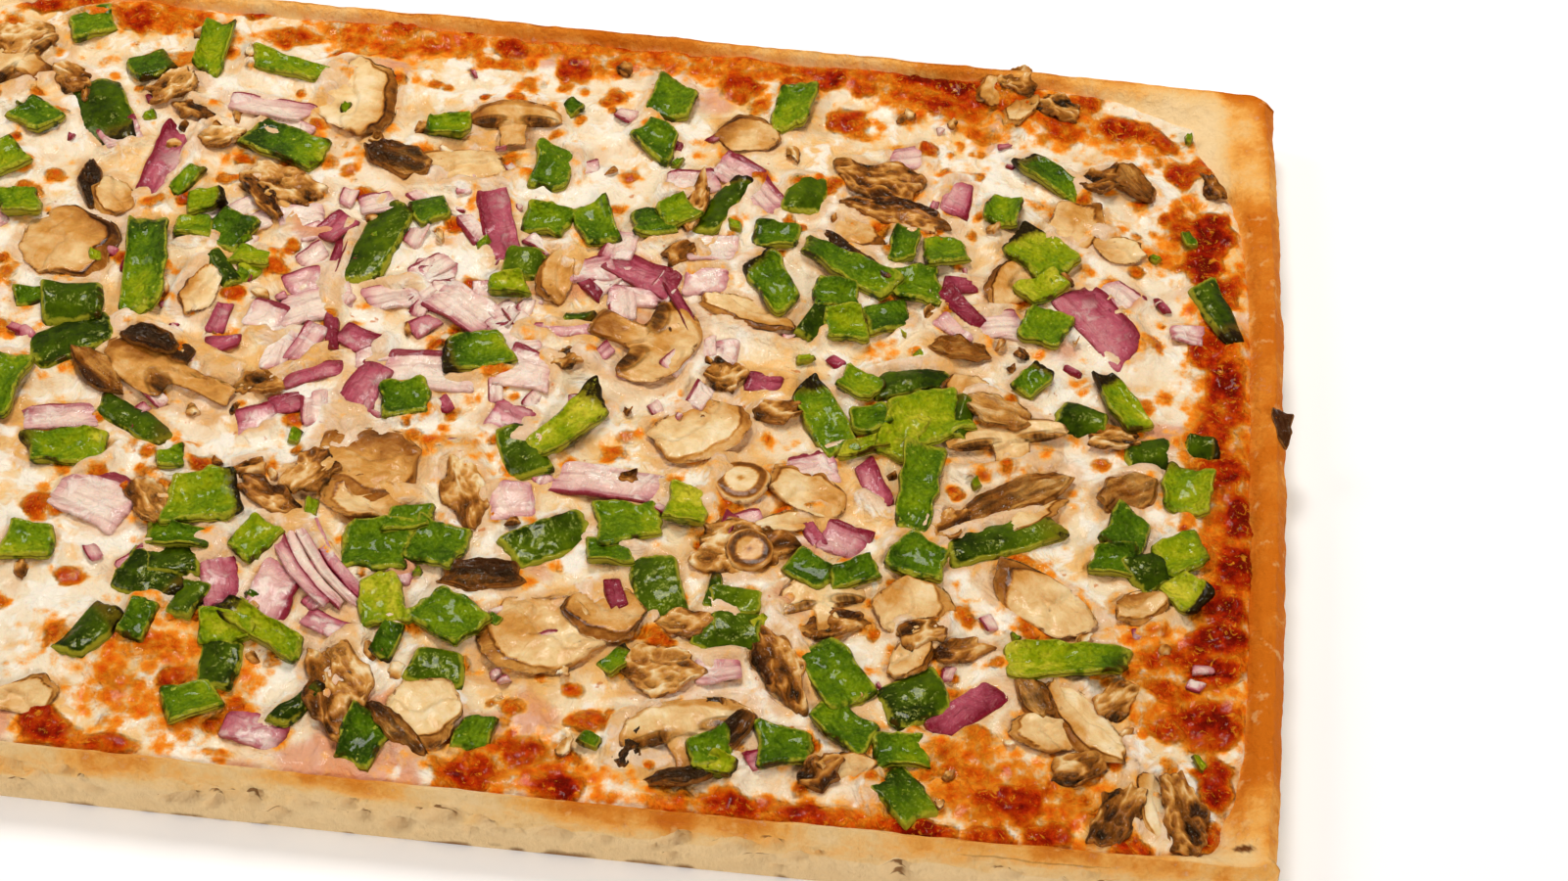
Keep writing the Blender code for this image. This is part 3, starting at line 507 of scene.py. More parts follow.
# Dents in the crust's front wall: x, height, length and depth
FRONT_DENTS = [
    (-112, 17, 6, 0.9), (-106, 9, 9, 1.0), (-120, 13, 5, 0.7), (-84, 8, 6, 1.0), (-70, 14, 12, 0.7),
    (-58, 15, 5, 1.1), (-52, 8, 8, 0.9), (-45, 13, 9, 0.7), (-33, 15, 6, 1.1), (-30, 9, 9, 0.9),
    (-8, 13, 13, 1.2), (8, 10, 9, 0.8), (24, 11, 12, 1.1), (38, 9, 7, 0.7), (-20, 6, 7, 0.6),
    (56, 12, 9, 0.8), (75, 14, 14, 0.9), (92, 11, 8, 0.7), (-140, 12, 9, 0.9), (-160, 9, 7, 0.8),
    (-180, 14, 10, 0.9), (-200, 11, 8, 0.8), (120, 12, 10, 0.8), (150, 13, 9, 0.8), (180, 12, 11, 0.9),
]

# All four walls have more dents at random, on average this far apart
DENT_SPACING = 10

# The crack in the dough at the near right corner, painted as a dark slit of shade with no relief: x, y
# and half its length and width
CRACK = (213.5, -141, 3.4, 1.3)

# The dark crumb on the right rim: x, y, turn, length and width
RIM_CRUMB = (224.7, 8.5, -75, 15, 6)

# How thick each kind of topping is cut
PEPPER_THICK = 4.4
ONION_THICK = 2.0
MUSHROOM_THICK = 2.6

# Crumbs strewn over the cheese, of which the last lie in the drift of onion, and the small
# browned spots
CRUMBS = 360
CRUMBS_IN_DRIFT = 100
DRIFT_MIDDLE = (-30, 28)
DRIFT_SPREAD = (45, 26)
BROWN_SPOTS = 1150

# A walk round the crust's wall: what is added to the places on the ends and on the sides,
# so that no two walls share a pattern
END_OFFSET = 500
SIDE_OFFSET = 900

# The size of the table of random values that each noise is drawn from
NOISE_TABLE = (61, 67)

# How many small pieces make one mesh, and the share of pieces that cheese runs over
MOST_JOINED = 60
SHARE_VEILED = 0.42

# The onion that lies as nested layers, and its strips: across, along, length, purple
LAYERED_ONION = "onion_06"
LAYER_STRIPS = [
    (-5.4, -1.0, 31, 0.45),
    (-1.9, 0.0, 37, 0.15),
    (1.7, 0.5, 38, 0.10),
    (5.2, 1.5, 34, 0.55),
]
STRIP_WIDTH = 3.6


class Strand:
    """One socket of a material's nodes, so that sums on masks read as sums."""

    def __init__(self, tree, socket):
        self.tree = tree
        self.socket = socket

    def node(self, kind, settings, inputs, output=0):
        """Adds a node: its settings first, then the values or links of its sockets."""
        made = self.tree.nodes.new(kind)
        for name, value in settings.items():
            if name == "stops":
                lay_stops(made.color_ramp, value)
            else:
                setattr(made, name, value)
        for name, value in inputs.items():
            if isinstance(value, Strand):
                self.tree.links.new(value.socket, made.inputs[name])
            else:
                made.inputs[name].default_value = value
        return Strand(self.tree, made.outputs[output])

    def sum_of(self, operation, first, second):
        return self.node("ShaderNodeMath", {"operation": operation}, {0: first, 1: second})

    def __add__(self, other):
        return self.sum_of("ADD", self, other)

    def __radd__(self, other):
        return self.sum_of("ADD", other, self)

    def __sub__(self, other):
        return self.sum_of("SUBTRACT", self, other)

    def __rsub__(self, other):
        return self.sum_of("SUBTRACT", other, self)

    def __mul__(self, other):
        return self.sum_of("MULTIPLY", self, other)

    def __rmul__(self, other):
        return self.sum_of("MULTIPLY", other, self)

    def step(self, low, high):
        """0 below low and 1 above high, with a soft step between."""
        limits = {0: self, 1: low, 2: high, 3: 0.0, 4: 1.0}
        return self.node("ShaderNodeMapRange", {"interpolation_type": "SMOOTHSTEP"}, limits)

    def tint(self, below, above):
        """The colour below where this is 0 and the colour above where it is 1."""
        colours = {0: self, 6: below, 7: above}
        return self.node("ShaderNodeMix", {"data_type": "RGBA"}, colours, 2)

    def ramp(self, stops):
        return self.node("ShaderNodeValToRGB", {"stops": stops}, {"Fac": self})


def lay_stops(ramp, stops):
    """Sets a colour ramp to the places and display colours given."""
    while len(ramp.elements) > 1:
        ramp.elements.remove(ramp.elements[-1])
    ramp.elements[0].position = stops[0][0]
    ramp.elements[0].color = rgb(*stops[0][1:])
    for place, *colour in stops[1:]:
        ramp.elements.new(place).color = rgb(*colour)


def rgb(red, green, blue):
    """A colour from its display values between 0 and 255."""
    linear = []
    for share in (red / 255, green / 255, blue / 255):
        linear.append(share / 12.92 if share <= 0.04045 else ((share + 0.055) / 1.055) ** 2.4)
    return (*linear, 1.0)


class Food:
    """A material in the making, with the places and masks that its patterns read."""

    def __init__(self, name):
        self.material = bpy.data.materials.new(name)
        self.material.use_nodes = True
        tree = self.material.node_tree
        self.shader = tree.nodes["Principled BSDF"]
        self.start = Strand(tree, None)
        self.place = self.start.node("ShaderNodeTexCoord", {}, {}, 3)
        look = self.attribute("look")
        self.edge = self.split(look, 0)
        self.tone = self.split(look, 1)
        self.dark = self.split(look, 2)
        self.extra = self.attribute("look", 3)
        self.grain = self.attribute("grain", 1)

    def attribute(self, name, output=0):
        """What a mesh's attribute holds at each point."""
        settings = {"attribute_type": "GEOMETRY", "attribute_name": name}
        return self.start.node("ShaderNodeAttribute", settings, {}, output)

    def split(self, colour, part):
        """One channel of a colour."""
        return self.start.node("ShaderNodeSeparateColor", {}, {"Color": colour}, part)

    def cloud(self, size_mm, detail=3.0, roughness=0.55, distortion=0.0, place=None):
        """Noise whose lumps are about size_mm across."""
        where = place or self.place
        scale = 0.5 / size_mm if place else 0.5 / (size_mm * MM)
        inputs = {"Vector": where, "Scale": scale, "Detail": detail, "Roughness": roughness,
                  "Distortion": distortion}
        return self.start.node("ShaderNodeTexNoise", {}, inputs)

    def cells(self, size_mm, feature="F1"):
        """Rounded cells about size_mm across."""
        inputs = {"Vector": self.place, "Scale": 1.0 / (size_mm * MM)}
        return self.start.node("ShaderNodeTexVoronoi", {"feature": feature}, inputs)

    def streaks(self, size_mm, stretch, detail=3.0):
        """Noise drawn out along a piece's own length."""
        inputs = {"Vector": self.grain, "Scale": (1 / stretch, 1.0, 1.0)}
        drawn = self.start.node("ShaderNodeMapping", {}, inputs)
        return self.cloud(size_mm, detail, place=drawn)

    def relief(self, height, depth_mm, below=None):
        """A bump of the given depth over any relief below it."""
        inputs = {"Height": height, "Distance": depth_mm * MM, "Strength": 1.0}
        if below is not None:
            inputs["Normal"] = below
        return self.start.node("ShaderNodeBump", {}, inputs)

    def finish(self, colour, roughness, normal, wet=None, **fixed):
        """Joins what varies to the shader and sets the rest on its own sockets."""
        links = self.material.node_tree.links
        if wet is not None:
            links.new(wet.socket, self.shader.inputs["Coat Weight"])
        for name, value in (("Base Color", colour), ("Roughness", roughness), ("Normal", normal)):
            links.new(value.socket, self.shader.inputs[name])
        for name, value in fixed.items():
            self.shader.inputs[name.replace("_", " ")].default_value = value
        return self.material


def dough_finish():
    """Pale matt dough, golden where look's edge says so, with pores and fine flour, painted shade in its
    pits, its groove and its crack, and a darker foot.
    """
    food = Food("baked dough")
    mottle = food.cloud(9, 4, 0.6)
    grit = food.cloud(1.8, 5, 0.7)
    golden = (food.edge + (mottle - 0.5) * 0.7 + (grit - 0.5) * 0.5).step(0.0, 1.0)
    colour = golden.ramp([
        (0.0, 247, 213, 160),
        (0.3, 246, 202, 136),
        (0.6, 248, 178, 88),
        (0.82, 232, 142, 46),
        (1.0, 212, 110, 18),
    ])
    pores = food.cells(3.4, "SMOOTH_F1").step(0.05, 0.35)
    # Painted shade: the upper insides of the wall's pits and the line of the groove along the shoulder
    # are darkened, and the foot of the wall is darker in patches.
    painted_shade_and_dark_foot = (food.tone + (grit - 0.5) * 0.3).step(0.12, 0.7)
    colour = (painted_shade_and_dark_foot * 0.85).tint(colour, rgb(132, 82, 34))
    flour = grit.step(0.58, 0.74) * (1 - food.edge.step(0.5, 1.0))
    colour = (flour * 0.4).tint(colour, rgb(244, 222, 184))
    streak = food.cloud(2.4, 3).step(0.58, 0.72) * food.edge.step(0.2, 0.8)
    colour = (streak * 0.5).tint(colour, rgb(248, 196, 124))
    # Painted shade: the crack is a dark slit of colour with no relief.
    colour = food.dark.step(0.2, 0.9).tint(colour, rgb(110, 58, 20))
    broad = food.relief(food.cloud(5, 3, 0.5), 1.8)
    normal = food.relief(grit * 1.5 + pores * 0.15, 1.0, broad)
    roughness = 0.60 + grit * 0.2
    return food.finish(
        colour, roughness, normal, Specular_IOR_Level=0.12, Specular_Tint=(1.0, 0.75, 0.4, 1.0),
    )


def sauce_finish():
    """Wet red sauce with darker pulp."""
    food = Food("tomato sauce")
    pulp = food.cloud(1.6, 4, 0.6)
    colour = pulp.step(0.35, 0.7).tint(rgb(150, 36, 12), rgb(205, 74, 24))
    return food.finish(colour, 0.2 + pulp * 0.2, food.relief(pulp, 0.6), Coat_Weight=0.3)


def cheese_finish():
    """Melted cheese: cream, with yellow oil, orange browning and dark red blisters, painted shade in
    the hollows of its lumps, a painted highlight on their tops and painted glints on the browned
    wrinkles. The edge value is the browning, tone the sauce that shows through, dark the curds and
    extra the oil and painted shade beside the toppings. The grain holds the relief of its lumps."""
    food = Food("melted cheese")
    lumps = food.cloud(3.2, 5, 0.62)
    fine = food.cloud(1.6, 4, 0.7)
    broad = food.cloud(18, 3, 0.55)
    oily = food.cloud(7, 4, 0.6, 0.8)
    folds = food.cloud(4.5, 3, 0.5, 2.5)
    high = food.start.node("ShaderNodeSeparateXYZ", {}, {"Vector": food.grain}, 2)
    cream = broad.step(0.40, 0.66).tint(rgb(243, 225, 196), rgb(239, 212, 168))
    golden = (oily + (broad - 0.5) * 0.6).step(0.49, 0.68)
    cream = (golden * 0.68).tint(cream, rgb(240, 178, 84))
    # Painted shade: the low places of the lumps are darkened.
    painted_hollow_shade = 1 - (high + (lumps - 0.5) * 0.8).step(-1.0, -0.1)
    cream = (painted_hollow_shade * 0.45).tint(cream, rgb(214, 158, 88))
    # Painted highlight: the high places of the lumps and folds are lightened.
    painted_fold_highlight = (high + (folds - 0.5) * 2.2).step(0.0, 0.6)
    cream = (painted_fold_highlight * 0.9).tint(cream, rgb(248, 238, 220))
    # Oil and painted shade: the cheese beside each piece is tinted orange-brown, partly its oil and
    # partly the shade round the piece.
    beside = (food.extra + (lumps - 0.5) * 1.4).step(0.45, 1.1)
    cream = (beside * 0.55).tint(cream, rgb(212, 142, 50))
    blush = (food.tone + (lumps - 0.5) * 0.6).step(0.3, 0.95)
    cream = (blush * 0.75).tint(cream, rgb(216, 134, 92))
    cream = food.dark.step(0.3, 0.9).tint(cream, rgb(246, 236, 220))
    specks = food.cloud(1.9, 2).step(0.71, 0.77)
    cream = (specks * 0.75).tint(cream, rgb(200, 108, 34))
    cores = food.cells(4.5)
    browned = food.edge * 0.86 + (lumps - 0.5) * 0.75 + (fine - 0.5) * 0.28 - (cores - 0.35) * 0.45
    baked = browned.ramp([
        (0.0, 242, 200, 126),
        (0.18, 246, 172, 66),
        (0.36, 244, 138, 24),
        (0.54, 234, 98, 2),
        (0.74, 210, 54, 0),
        (0.90, 176, 26, 0),
        (1.0, 138, 14, 0),
    ])
    colour = browned.step(0.0, 0.34).tint(cream, baked)
    wrinkles = food.cloud(1.8, 4, 0.7, 1.8)
    rough_skin = food.edge.step(0.25, 0.8)
    # Painted glints: thin golden lines on the browned wrinkles stand in for highlights.
    painted_ridge_glints = wrinkles.step(0.57, 0.62) * rough_skin
    colour = (painted_ridge_glints * 0.7).tint(colour, rgb(252, 160, 34))
    bubbles = food.cells(1.5, "SMOOTH_F1")
    soft = food.relief(lumps * 0.6 + folds * 0.9, 1.3)
    normal = food.relief((bubbles * 0.8 + wrinkles * 1.8) * rough_skin + fine * 0.22, 1.8, soft)
    roughness = 0.34 + (fine - 0.5) * 0.2 - rough_skin * 0.10
    return food.finish(
        colour, roughness, normal, 0.08 - rough_skin * 0.02, Specular_IOR_Level=0.16,
        Specular_Tint=(1.0, 0.62, 0.22, 1.0), Coat_Roughness=0.04,
        Coat_Tint=(1.0, 0.92, 0.75, 1.0), Subsurface_Weight=0.1, Subsurface_Scale=0.002,
    )


def pepper_finish():
    """Green pepper. Tone is paleness, dark is char and extra is the share of outer skin."""
    food = Food("green pepper")
    drift = food.streaks(4, 3)
    fine = food.cloud(1.3, 3, 0.65)
    blotch = food.cloud(3.5, 3, 0.6)
    pale = food.tone * 0.8 + 0.08 + (drift - 0.5) * 0.8 + (blotch - 0.5) * 0.8 + (fine - 0.5) * 0.5
    flesh = pale.ramp([
        (0.0, 38, 62, 0),
        (0.25, 70, 100, 0),
        (0.5, 106, 130, 0),
        (0.75, 146, 154, 2),
        (1.0, 202, 188, 46),
    ])
    skin = pale.ramp([
        (0.0, 28, 42, 0),
        (0.35, 66, 86, 0),
        (0.7, 104, 120, 4),
        (1.0, 140, 144, 30),
    ])
    is_skin = (food.extra + (drift - 0.5) * 0.3).step(0.35, 0.65)
    colour = is_skin.tint(flesh, skin)
    cut = (food.edge + (fine - 0.5) * 0.26).step(0.82, 0.96)
    colour = (cut * blotch.step(0.40, 0.50) * 0.75).tint(colour, rgb(172, 164, 40))
    singed = cut * (1 - blotch.step(0.33, 0.42))
    colour = (singed * 0.9).tint(colour, rgb(70, 44, 4))
    colour = (food.dark.step(0.1, 0.5) * 0.7).tint(colour, rgb(112, 80, 12))
    char = (food.dark + (fine - 0.5) * 0.6 + (blotch - 0.5) * 0.5).step(0.32, 0.54)
    colour = char.tint(colour, rgb(30, 14, 2))
    # Painted glints: light yellow-green speckles on the flesh stand in for wet highlights.
    painted_sparkle = food.cloud(1.5, 3, 0.7).step(0.64, 0.72) * (1 - is_skin * 0.7)
    colour = (painted_sparkle * 0.55).tint(colour, rgb(206, 206, 70))
    wet = food.cells(1.4, "SMOOTH_F1")
    pimples = (wet * 0.7 + food.cloud(2.2, 3) * 1.1) * (1 - is_skin * 0.8)
    normal = food.relief(pimples + drift * 0.4 + fine * 0.2, 1.6)
    roughness = 0.30 - is_skin * 0.12 + char * 0.25 + (fine - 0.5) * 0.15
    return food.finish(
        colour, roughness, normal, Specular_IOR_Level=0.18, Specular_Tint=(0.85, 0.85, 0.15, 1.0),
        Coat_Weight=0.13, Coat_Roughness=0.04, Subsurface_Weight=0.05, Subsurface_Scale=0.0015,
    )


def onion_finish():
    """Red onion: white-pink to purple, with veins along its length. Tone is the purple and
    dark the line of outer skin."""
    food = Food("red onion")
    veins = food.streaks(1.1, 14, 2)
    drift = food.cloud(5, 3)
    fine = food.cloud(1.5, 3)
    wrinkles = food.cloud(2.4, 3, 0.6, 1.2)
    purple = food.tone + (drift - 0.5) * 0.7 + (fine - 0.5) * 0.2 + (wrinkles - 0.5) * 0.3
    base = purple.ramp([
        (0.0, 240, 216, 194),
        (0.22, 230, 188, 172),
        (0.45, 208, 140, 140),
        (0.70, 180, 76, 94),
        (1.0, 116, 10, 32),
    ])
    lines = veins.step(0.50, 0.66) * (0.22 + food.tone * 0.5)
    colour = lines.tint(base, rgb(136, 22, 46))
    skin_line = (food.dark + (fine - 0.5) * 0.5 + (wrinkles - 0.5) * 0.4).step(0.40, 0.85)
    colour = (skin_line * 0.9).tint(colour, rgb(128, 6, 34))
    milky = (drift + (wrinkles - 0.5) * 0.6).step(0.50, 0.68) * (1 - food.tone.step(0.35, 0.85))
    colour = (milky * 0.75 * (1 - skin_line)).tint(colour, rgb(246, 230, 212))
    toasted = (food.edge + (drift - 0.5) * 0.5).step(0.95, 1.15)
    colour = (toasted * 0.6).tint(colour, rgb(140, 74, 34))
    normal = food.relief(veins * 0.7 + fine * 0.3 + wrinkles * 1.8, 0.9)
    roughness = 0.24 + fine * 0.16
    return food.finish(
        colour, roughness, normal, Specular_IOR_Level=0.25, Specular_Tint=(1.0, 0.7, 0.6, 1.0),
        Coat_Weight=0.12, Coat_Roughness=0.06, Subsurface_Weight=0.15, Subsurface_Scale=0.002,
    )


def mushroom_finish():
    """Baked mushroom. Tone is the browning of the face, dark the gills and the valleys of the
    folds, partly burnt and partly painted shade, and extra how deep a point lies in its folds,
    which is painted browner as shade."""
    food = Food("mushroom")
    fibre = food.streaks(1.5, 6, 4)
    fine = food.cloud(1.5, 4, 0.65)
    blotch = food.cloud(5, 4, 0.6)
    veil = food.cloud(2.8, 4, 0.65, 1.0)
    torn = food.dark.step(0.05, 0.4)
    drift = (blotch - 0.5) * 0.7 + (veil - 0.5) * 0.35
    # Points deep in the folds are painted browner, as shade.
    tan = food.tone + drift + (fibre - 0.5) * (0.22 + torn * 0.5) + food.extra * 0.5
    face = tan.ramp([
        (0.0, 244, 222, 182),
        (0.20, 232, 196, 138),
        (0.45, 206, 142, 62),
        (0.70, 150, 84, 16),
        (1.0, 68, 30, 2),
    ])
    rim = (food.edge + (fine - 0.5) * 0.12 + (blotch - 0.5) * 0.18).step(0.93, 0.98)
    colour = (rim * 0.4).tint(face, rgb(190, 128, 58))
    colour = (rim * veil.step(0.50, 0.60) * 0.8).tint(colour, rgb(92, 46, 8))
    # Dark of the gills, and of the fold valleys, which is partly burnt and partly painted shade.
    gills = (food.dark + (fibre - 0.5) * 0.8 + (fine - 0.5) * 0.3 + (blotch - 0.5) * 0.3).step(0.35, 0.85)
    colour = gills.tint(colour, rgb(42, 20, 2))
    specks = food.cloud(1.9, 2).step(0.71, 0.78)
    colour = (specks * 0.5).tint(colour, rgb(116, 62, 14))
    broad = food.relief(blotch, 1.2)
    crinkle = fibre * (0.25 + torn * 1.8) + fine * (0.15 + torn * 0.6) + veil * (0.6 + torn)
    normal = food.relief(crinkle, 1.1, broad)
    roughness = 0.36 - gills * 0.10 + (fine - 0.5) * 0.2
    return food.finish(
        colour, roughness, normal, Specular_IOR_Level=0.2, Specular_Tint=(1.0, 0.75, 0.4, 1.0),
        Coat_Weight=0.10, Coat_Roughness=0.05, Subsurface_Weight=0.12, Subsurface_Scale=0.002,
    )


def ripple(x, y, size, seed):
    """Smooth noise between -1 and 1 whose lumps are about size wide. Each seed gives
    another pattern."""
    rows, columns = NOISE_TABLE
    table = np.random.default_rng(seed).uniform(-1, 1, NOISE_TABLE)
    turn = 0.7 + seed * 1.3
    across = (x * math.cos(turn) - y * math.sin(turn)) / size + seed * 3.7
    along = (x * math.sin(turn) + y * math.cos(turn)) / size + seed * 5.1
    left = np.floor(across).astype(int)
    low = np.floor(along).astype(int)
    part = across - left
    rise = along - low
    part = part * part * (3 - 2 * part)
    rise = rise * rise * (3 - 2 * rise)
    levels = []
    for row in (low % columns, (low + 1) % columns):
        levels.append(table[left % rows, row] * (1 - part) + table[(left + 1) % rows, row] * part)
    return levels[0] * (1 - rise) + levels[1] * rise


def rough(x, y, size, seed):
    """Noise of three sizes laid over each other."""
    whole = ripple(x, y, size, seed)
    half = ripple(x, y, size * 0.5, seed + 1)
    quarter = ripple(x, y, size * 0.25, seed + 2)
    return (whole + 0.5 * half + 0.25 * quarter) / 1.4


def soft_step(values, low, high):
    """0 below low and 1 above high, with a soft step between."""
    share = np.clip((values - low) / (high - low), 0, 1)
    return share * share * (3 - 2 * share)


def turned(x, y, degrees):
    """Places turned about the origin."""
    cosine = math.cos(math.radians(degrees))
    sine = math.sin(math.radians(degrees))
    return x * cosine - y * sine, x * sine + y * cosine


def seen_from(x, y, middle_x, middle_y, turn):
    """Places along and across something that lies turned at a middle."""
    return turned(x - middle_x, y - middle_y, -turn)


def laid_out(u, v, half_long, half_wide):
    """Points of the unit square laid on a rectangle with round corners and bowed sides."""
    x = u * half_long
    y = v * half_wide
    past_x = (np.abs(x) - half_long + CORNER_RADIUS) / CORNER_RADIUS
    past_y = (np.abs(y) - half_wide + CORNER_RADIUS) / CORNER_RADIUS
    round_x = past_x * np.sqrt(1 - np.clip(past_y, 0, 1) ** 2 / 2)
    round_y = past_y * np.sqrt(1 - np.clip(past_x, 0, 1) ** 2 / 2)
    in_corner = (past_x > 0) & (past_y > 0)
    x = np.where(in_corner, np.sign(x) * (half_long - CORNER_RADIUS + CORNER_RADIUS * round_x), x)
    y = np.where(in_corner, np.sign(y) * (half_wide - CORNER_RADIUS + CORNER_RADIUS * round_y), y)
    share_x = x / HALF_LONG
    share_y = y / HALF_WIDE
    return x - BOW_END * share_x * share_y ** 2, y - BOW_SIDE * share_y * share_x ** 2


def pulled_in(x, y):
    """Moves points near the bare corners towards the middle."""
    for corner_x, corner_y, radius, depth in BARE_CORNERS:
        away = np.hypot(x - corner_x, y - corner_y) / radius
        push = depth * np.exp(-away * away) / math.hypot(corner_x, corner_y)
        x = x - corner_x * push
        y = y - corner_y * push
    return x, y


def cheese_level(x, y):
    """The height of the melted cheese, which follows the solid's."""
    heights = []
    for px, py in zip(np.atleast_1d(x), np.atleast_1d(y)):
        broad = noise.noise(Vector((px * MM * 22, py * MM * 22, 1.0)))
        fine = noise.noise(Vector((px * MM * 60, py * MM * 60, 4.0)))
        heights.append(CHEESE_LEVEL + 1.1 * broad + 0.5 * fine)
    return np.array(heights)


def set_points(mesh, points):
    """Moves a mesh's points to places in millimetres."""
    mesh.vertices.foreach_set("co", (points * MM).astype(np.float32).ravel())
    mesh.update()


def get_points(mesh):
    """The places of a mesh's points, in its own units."""
    flat = np.empty(len(mesh.vertices) * 3, np.float32)
    mesh.vertices.foreach_get("co", flat)
    return flat.reshape(-1, 3).astype(float)


def mark(mesh, look, grain):
    """Writes what the materials read: four masks and the place along a piece's grain."""
    colours = mesh.attributes.new("look", "FLOAT_COLOR", "POINT")
    colours.data.foreach_set("color", np.stack(look, -1).astype(np.float32).ravel())
    places = mesh.attributes.new("grain", "FLOAT_VECTOR", "POINT")
    places.data.foreach_set("vector", np.stack(grain, -1).astype(np.float32).ravel())


def finished(bm, name):
    """A mesh from a bmesh that is done with."""
    mesh = bpy.data.meshes.new(name)
    bm.to_mesh(mesh)
    bm.free()
    return mesh


def new_points(grown):
    """The points that an extrusion made."""
    return [item for item in grown["geom"] if isinstance(item, bmesh.types.BMVert)]


def add_piece(name, mesh, finish, slot, *nodes):
    """Puts a finished mesh in the scene in place of its nodes."""
    mesh.shade_smooth()
    mesh.materials.clear()
    mesh.materials.append(finish)
    piece = bpy.data.objects.new(name, mesh)
    bpy.context.scene.collection.objects.link(piece)
    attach(piece, "root")
    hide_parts(*nodes)
    return piece


def plate(cells):
    """A closed square plate from -1 to 1. Its z is 1 on top, -1 below and 0 between them."""
    bm = bmesh.new()
    bmesh.ops.create_grid(bm, x_segments=cells, y_segments=cells, size=1.0)
    bmesh.ops.translate(bm, verts=bm.verts[:], vec=(0, 0, 1))
    lower = bmesh.ops.extrude_face_region(bm, geom=bm.faces[:], use_keep_orig=True)
    bmesh.ops.translate(bm, verts=new_points(lower), vec=(0, 0, -2))
    walls = [e for e in bm.edges if abs(e.verts[0].co.z - e.verts[1].co.z) > 1]
    bmesh.ops.subdivide_edges(bm, edges=walls, cuts=1, use_grid_fill=True)
    bmesh.ops.recalc_face_normals(bm, faces=bm.faces[:])
    return finished(bm, "plate")


# The directions in which an outline's reach is kept, and the outlines that pieces are cut to
ANGLES = np.linspace(-math.pi, math.pi, 240, endpoint=False)
DICE = [(1.0, 1.0), (-1.0, 1.0), (-1.0, -1.0), (1.0, -1.0)]
ROUND = [(math.cos(turn), math.sin(turn)) for turn in np.linspace(0, 2 * math.pi, 14, endpoint=False)]
SLICE_HALF = [(1.0, 0.0), (0.93, 0.38), (0.70, 0.74), (0.30, 0.97), (-0.02, 1.0), (-0.16, 0.84),
              (-0.10, 0.50), (-0.16, 0.30), (-0.55, 0.25), (-1.0, 0.32)]
SLICE = SLICE_HALF + [(along, -across) for along, across in reversed(SLICE_HALF[1:])]


def reach_of(corners, blur, ragged, chance):
    """How far an outline lies from the middle in each direction: its corners rounded, and
    its edge torn by the share ragged."""
    reach = np.full(ANGLES.shape, 9.0)
    way_x, way_y = np.cos(ANGLES), np.sin(ANGLES)
    for start, end in zip(corners, corners[1:] + corners[:1]):
        run_x, run_y = end[0] - start[0], end[1] - start[1]
        cross = way_x * run_y - way_y * run_x
        cross = np.where(np.abs(cross) < 1e-9, 1e-9, cross)
        away = (start[0] * run_y - start[1] * run_x) / cross
        share = (start[0] * way_y - start[1] * way_x) / cross
        hit = (away > 0) & (share >= -1e-6) & (share <= 1 + 1e-6)
        reach = np.where(hit & (away < reach), away, reach)
    weights = np.hanning(2 * blur + 3)[1:-1]
    wrapped = np.concatenate([reach[-blur:], reach, reach[:blur]])
    reach = np.convolve(wrapped, weights / weights.sum(), "valid")
    for waves in (2, 3, 5, 8, 13, 21):
        swing = np.cos(waves * ANGLES + chance.uniform(0, 2 * math.pi))
        reach = reach * (1 + ragged * chance.uniform(-1, 1) * swing / waves ** 0.45)
    return reach


def jittered(corners, amount, chance):
    """Corners that are each pushed about by up to a share of their distance."""
    return [(a * (1 + chance.uniform(-amount, amount)), b * (1 + chance.uniform(-amount, amount)))
            for a, b in corners]


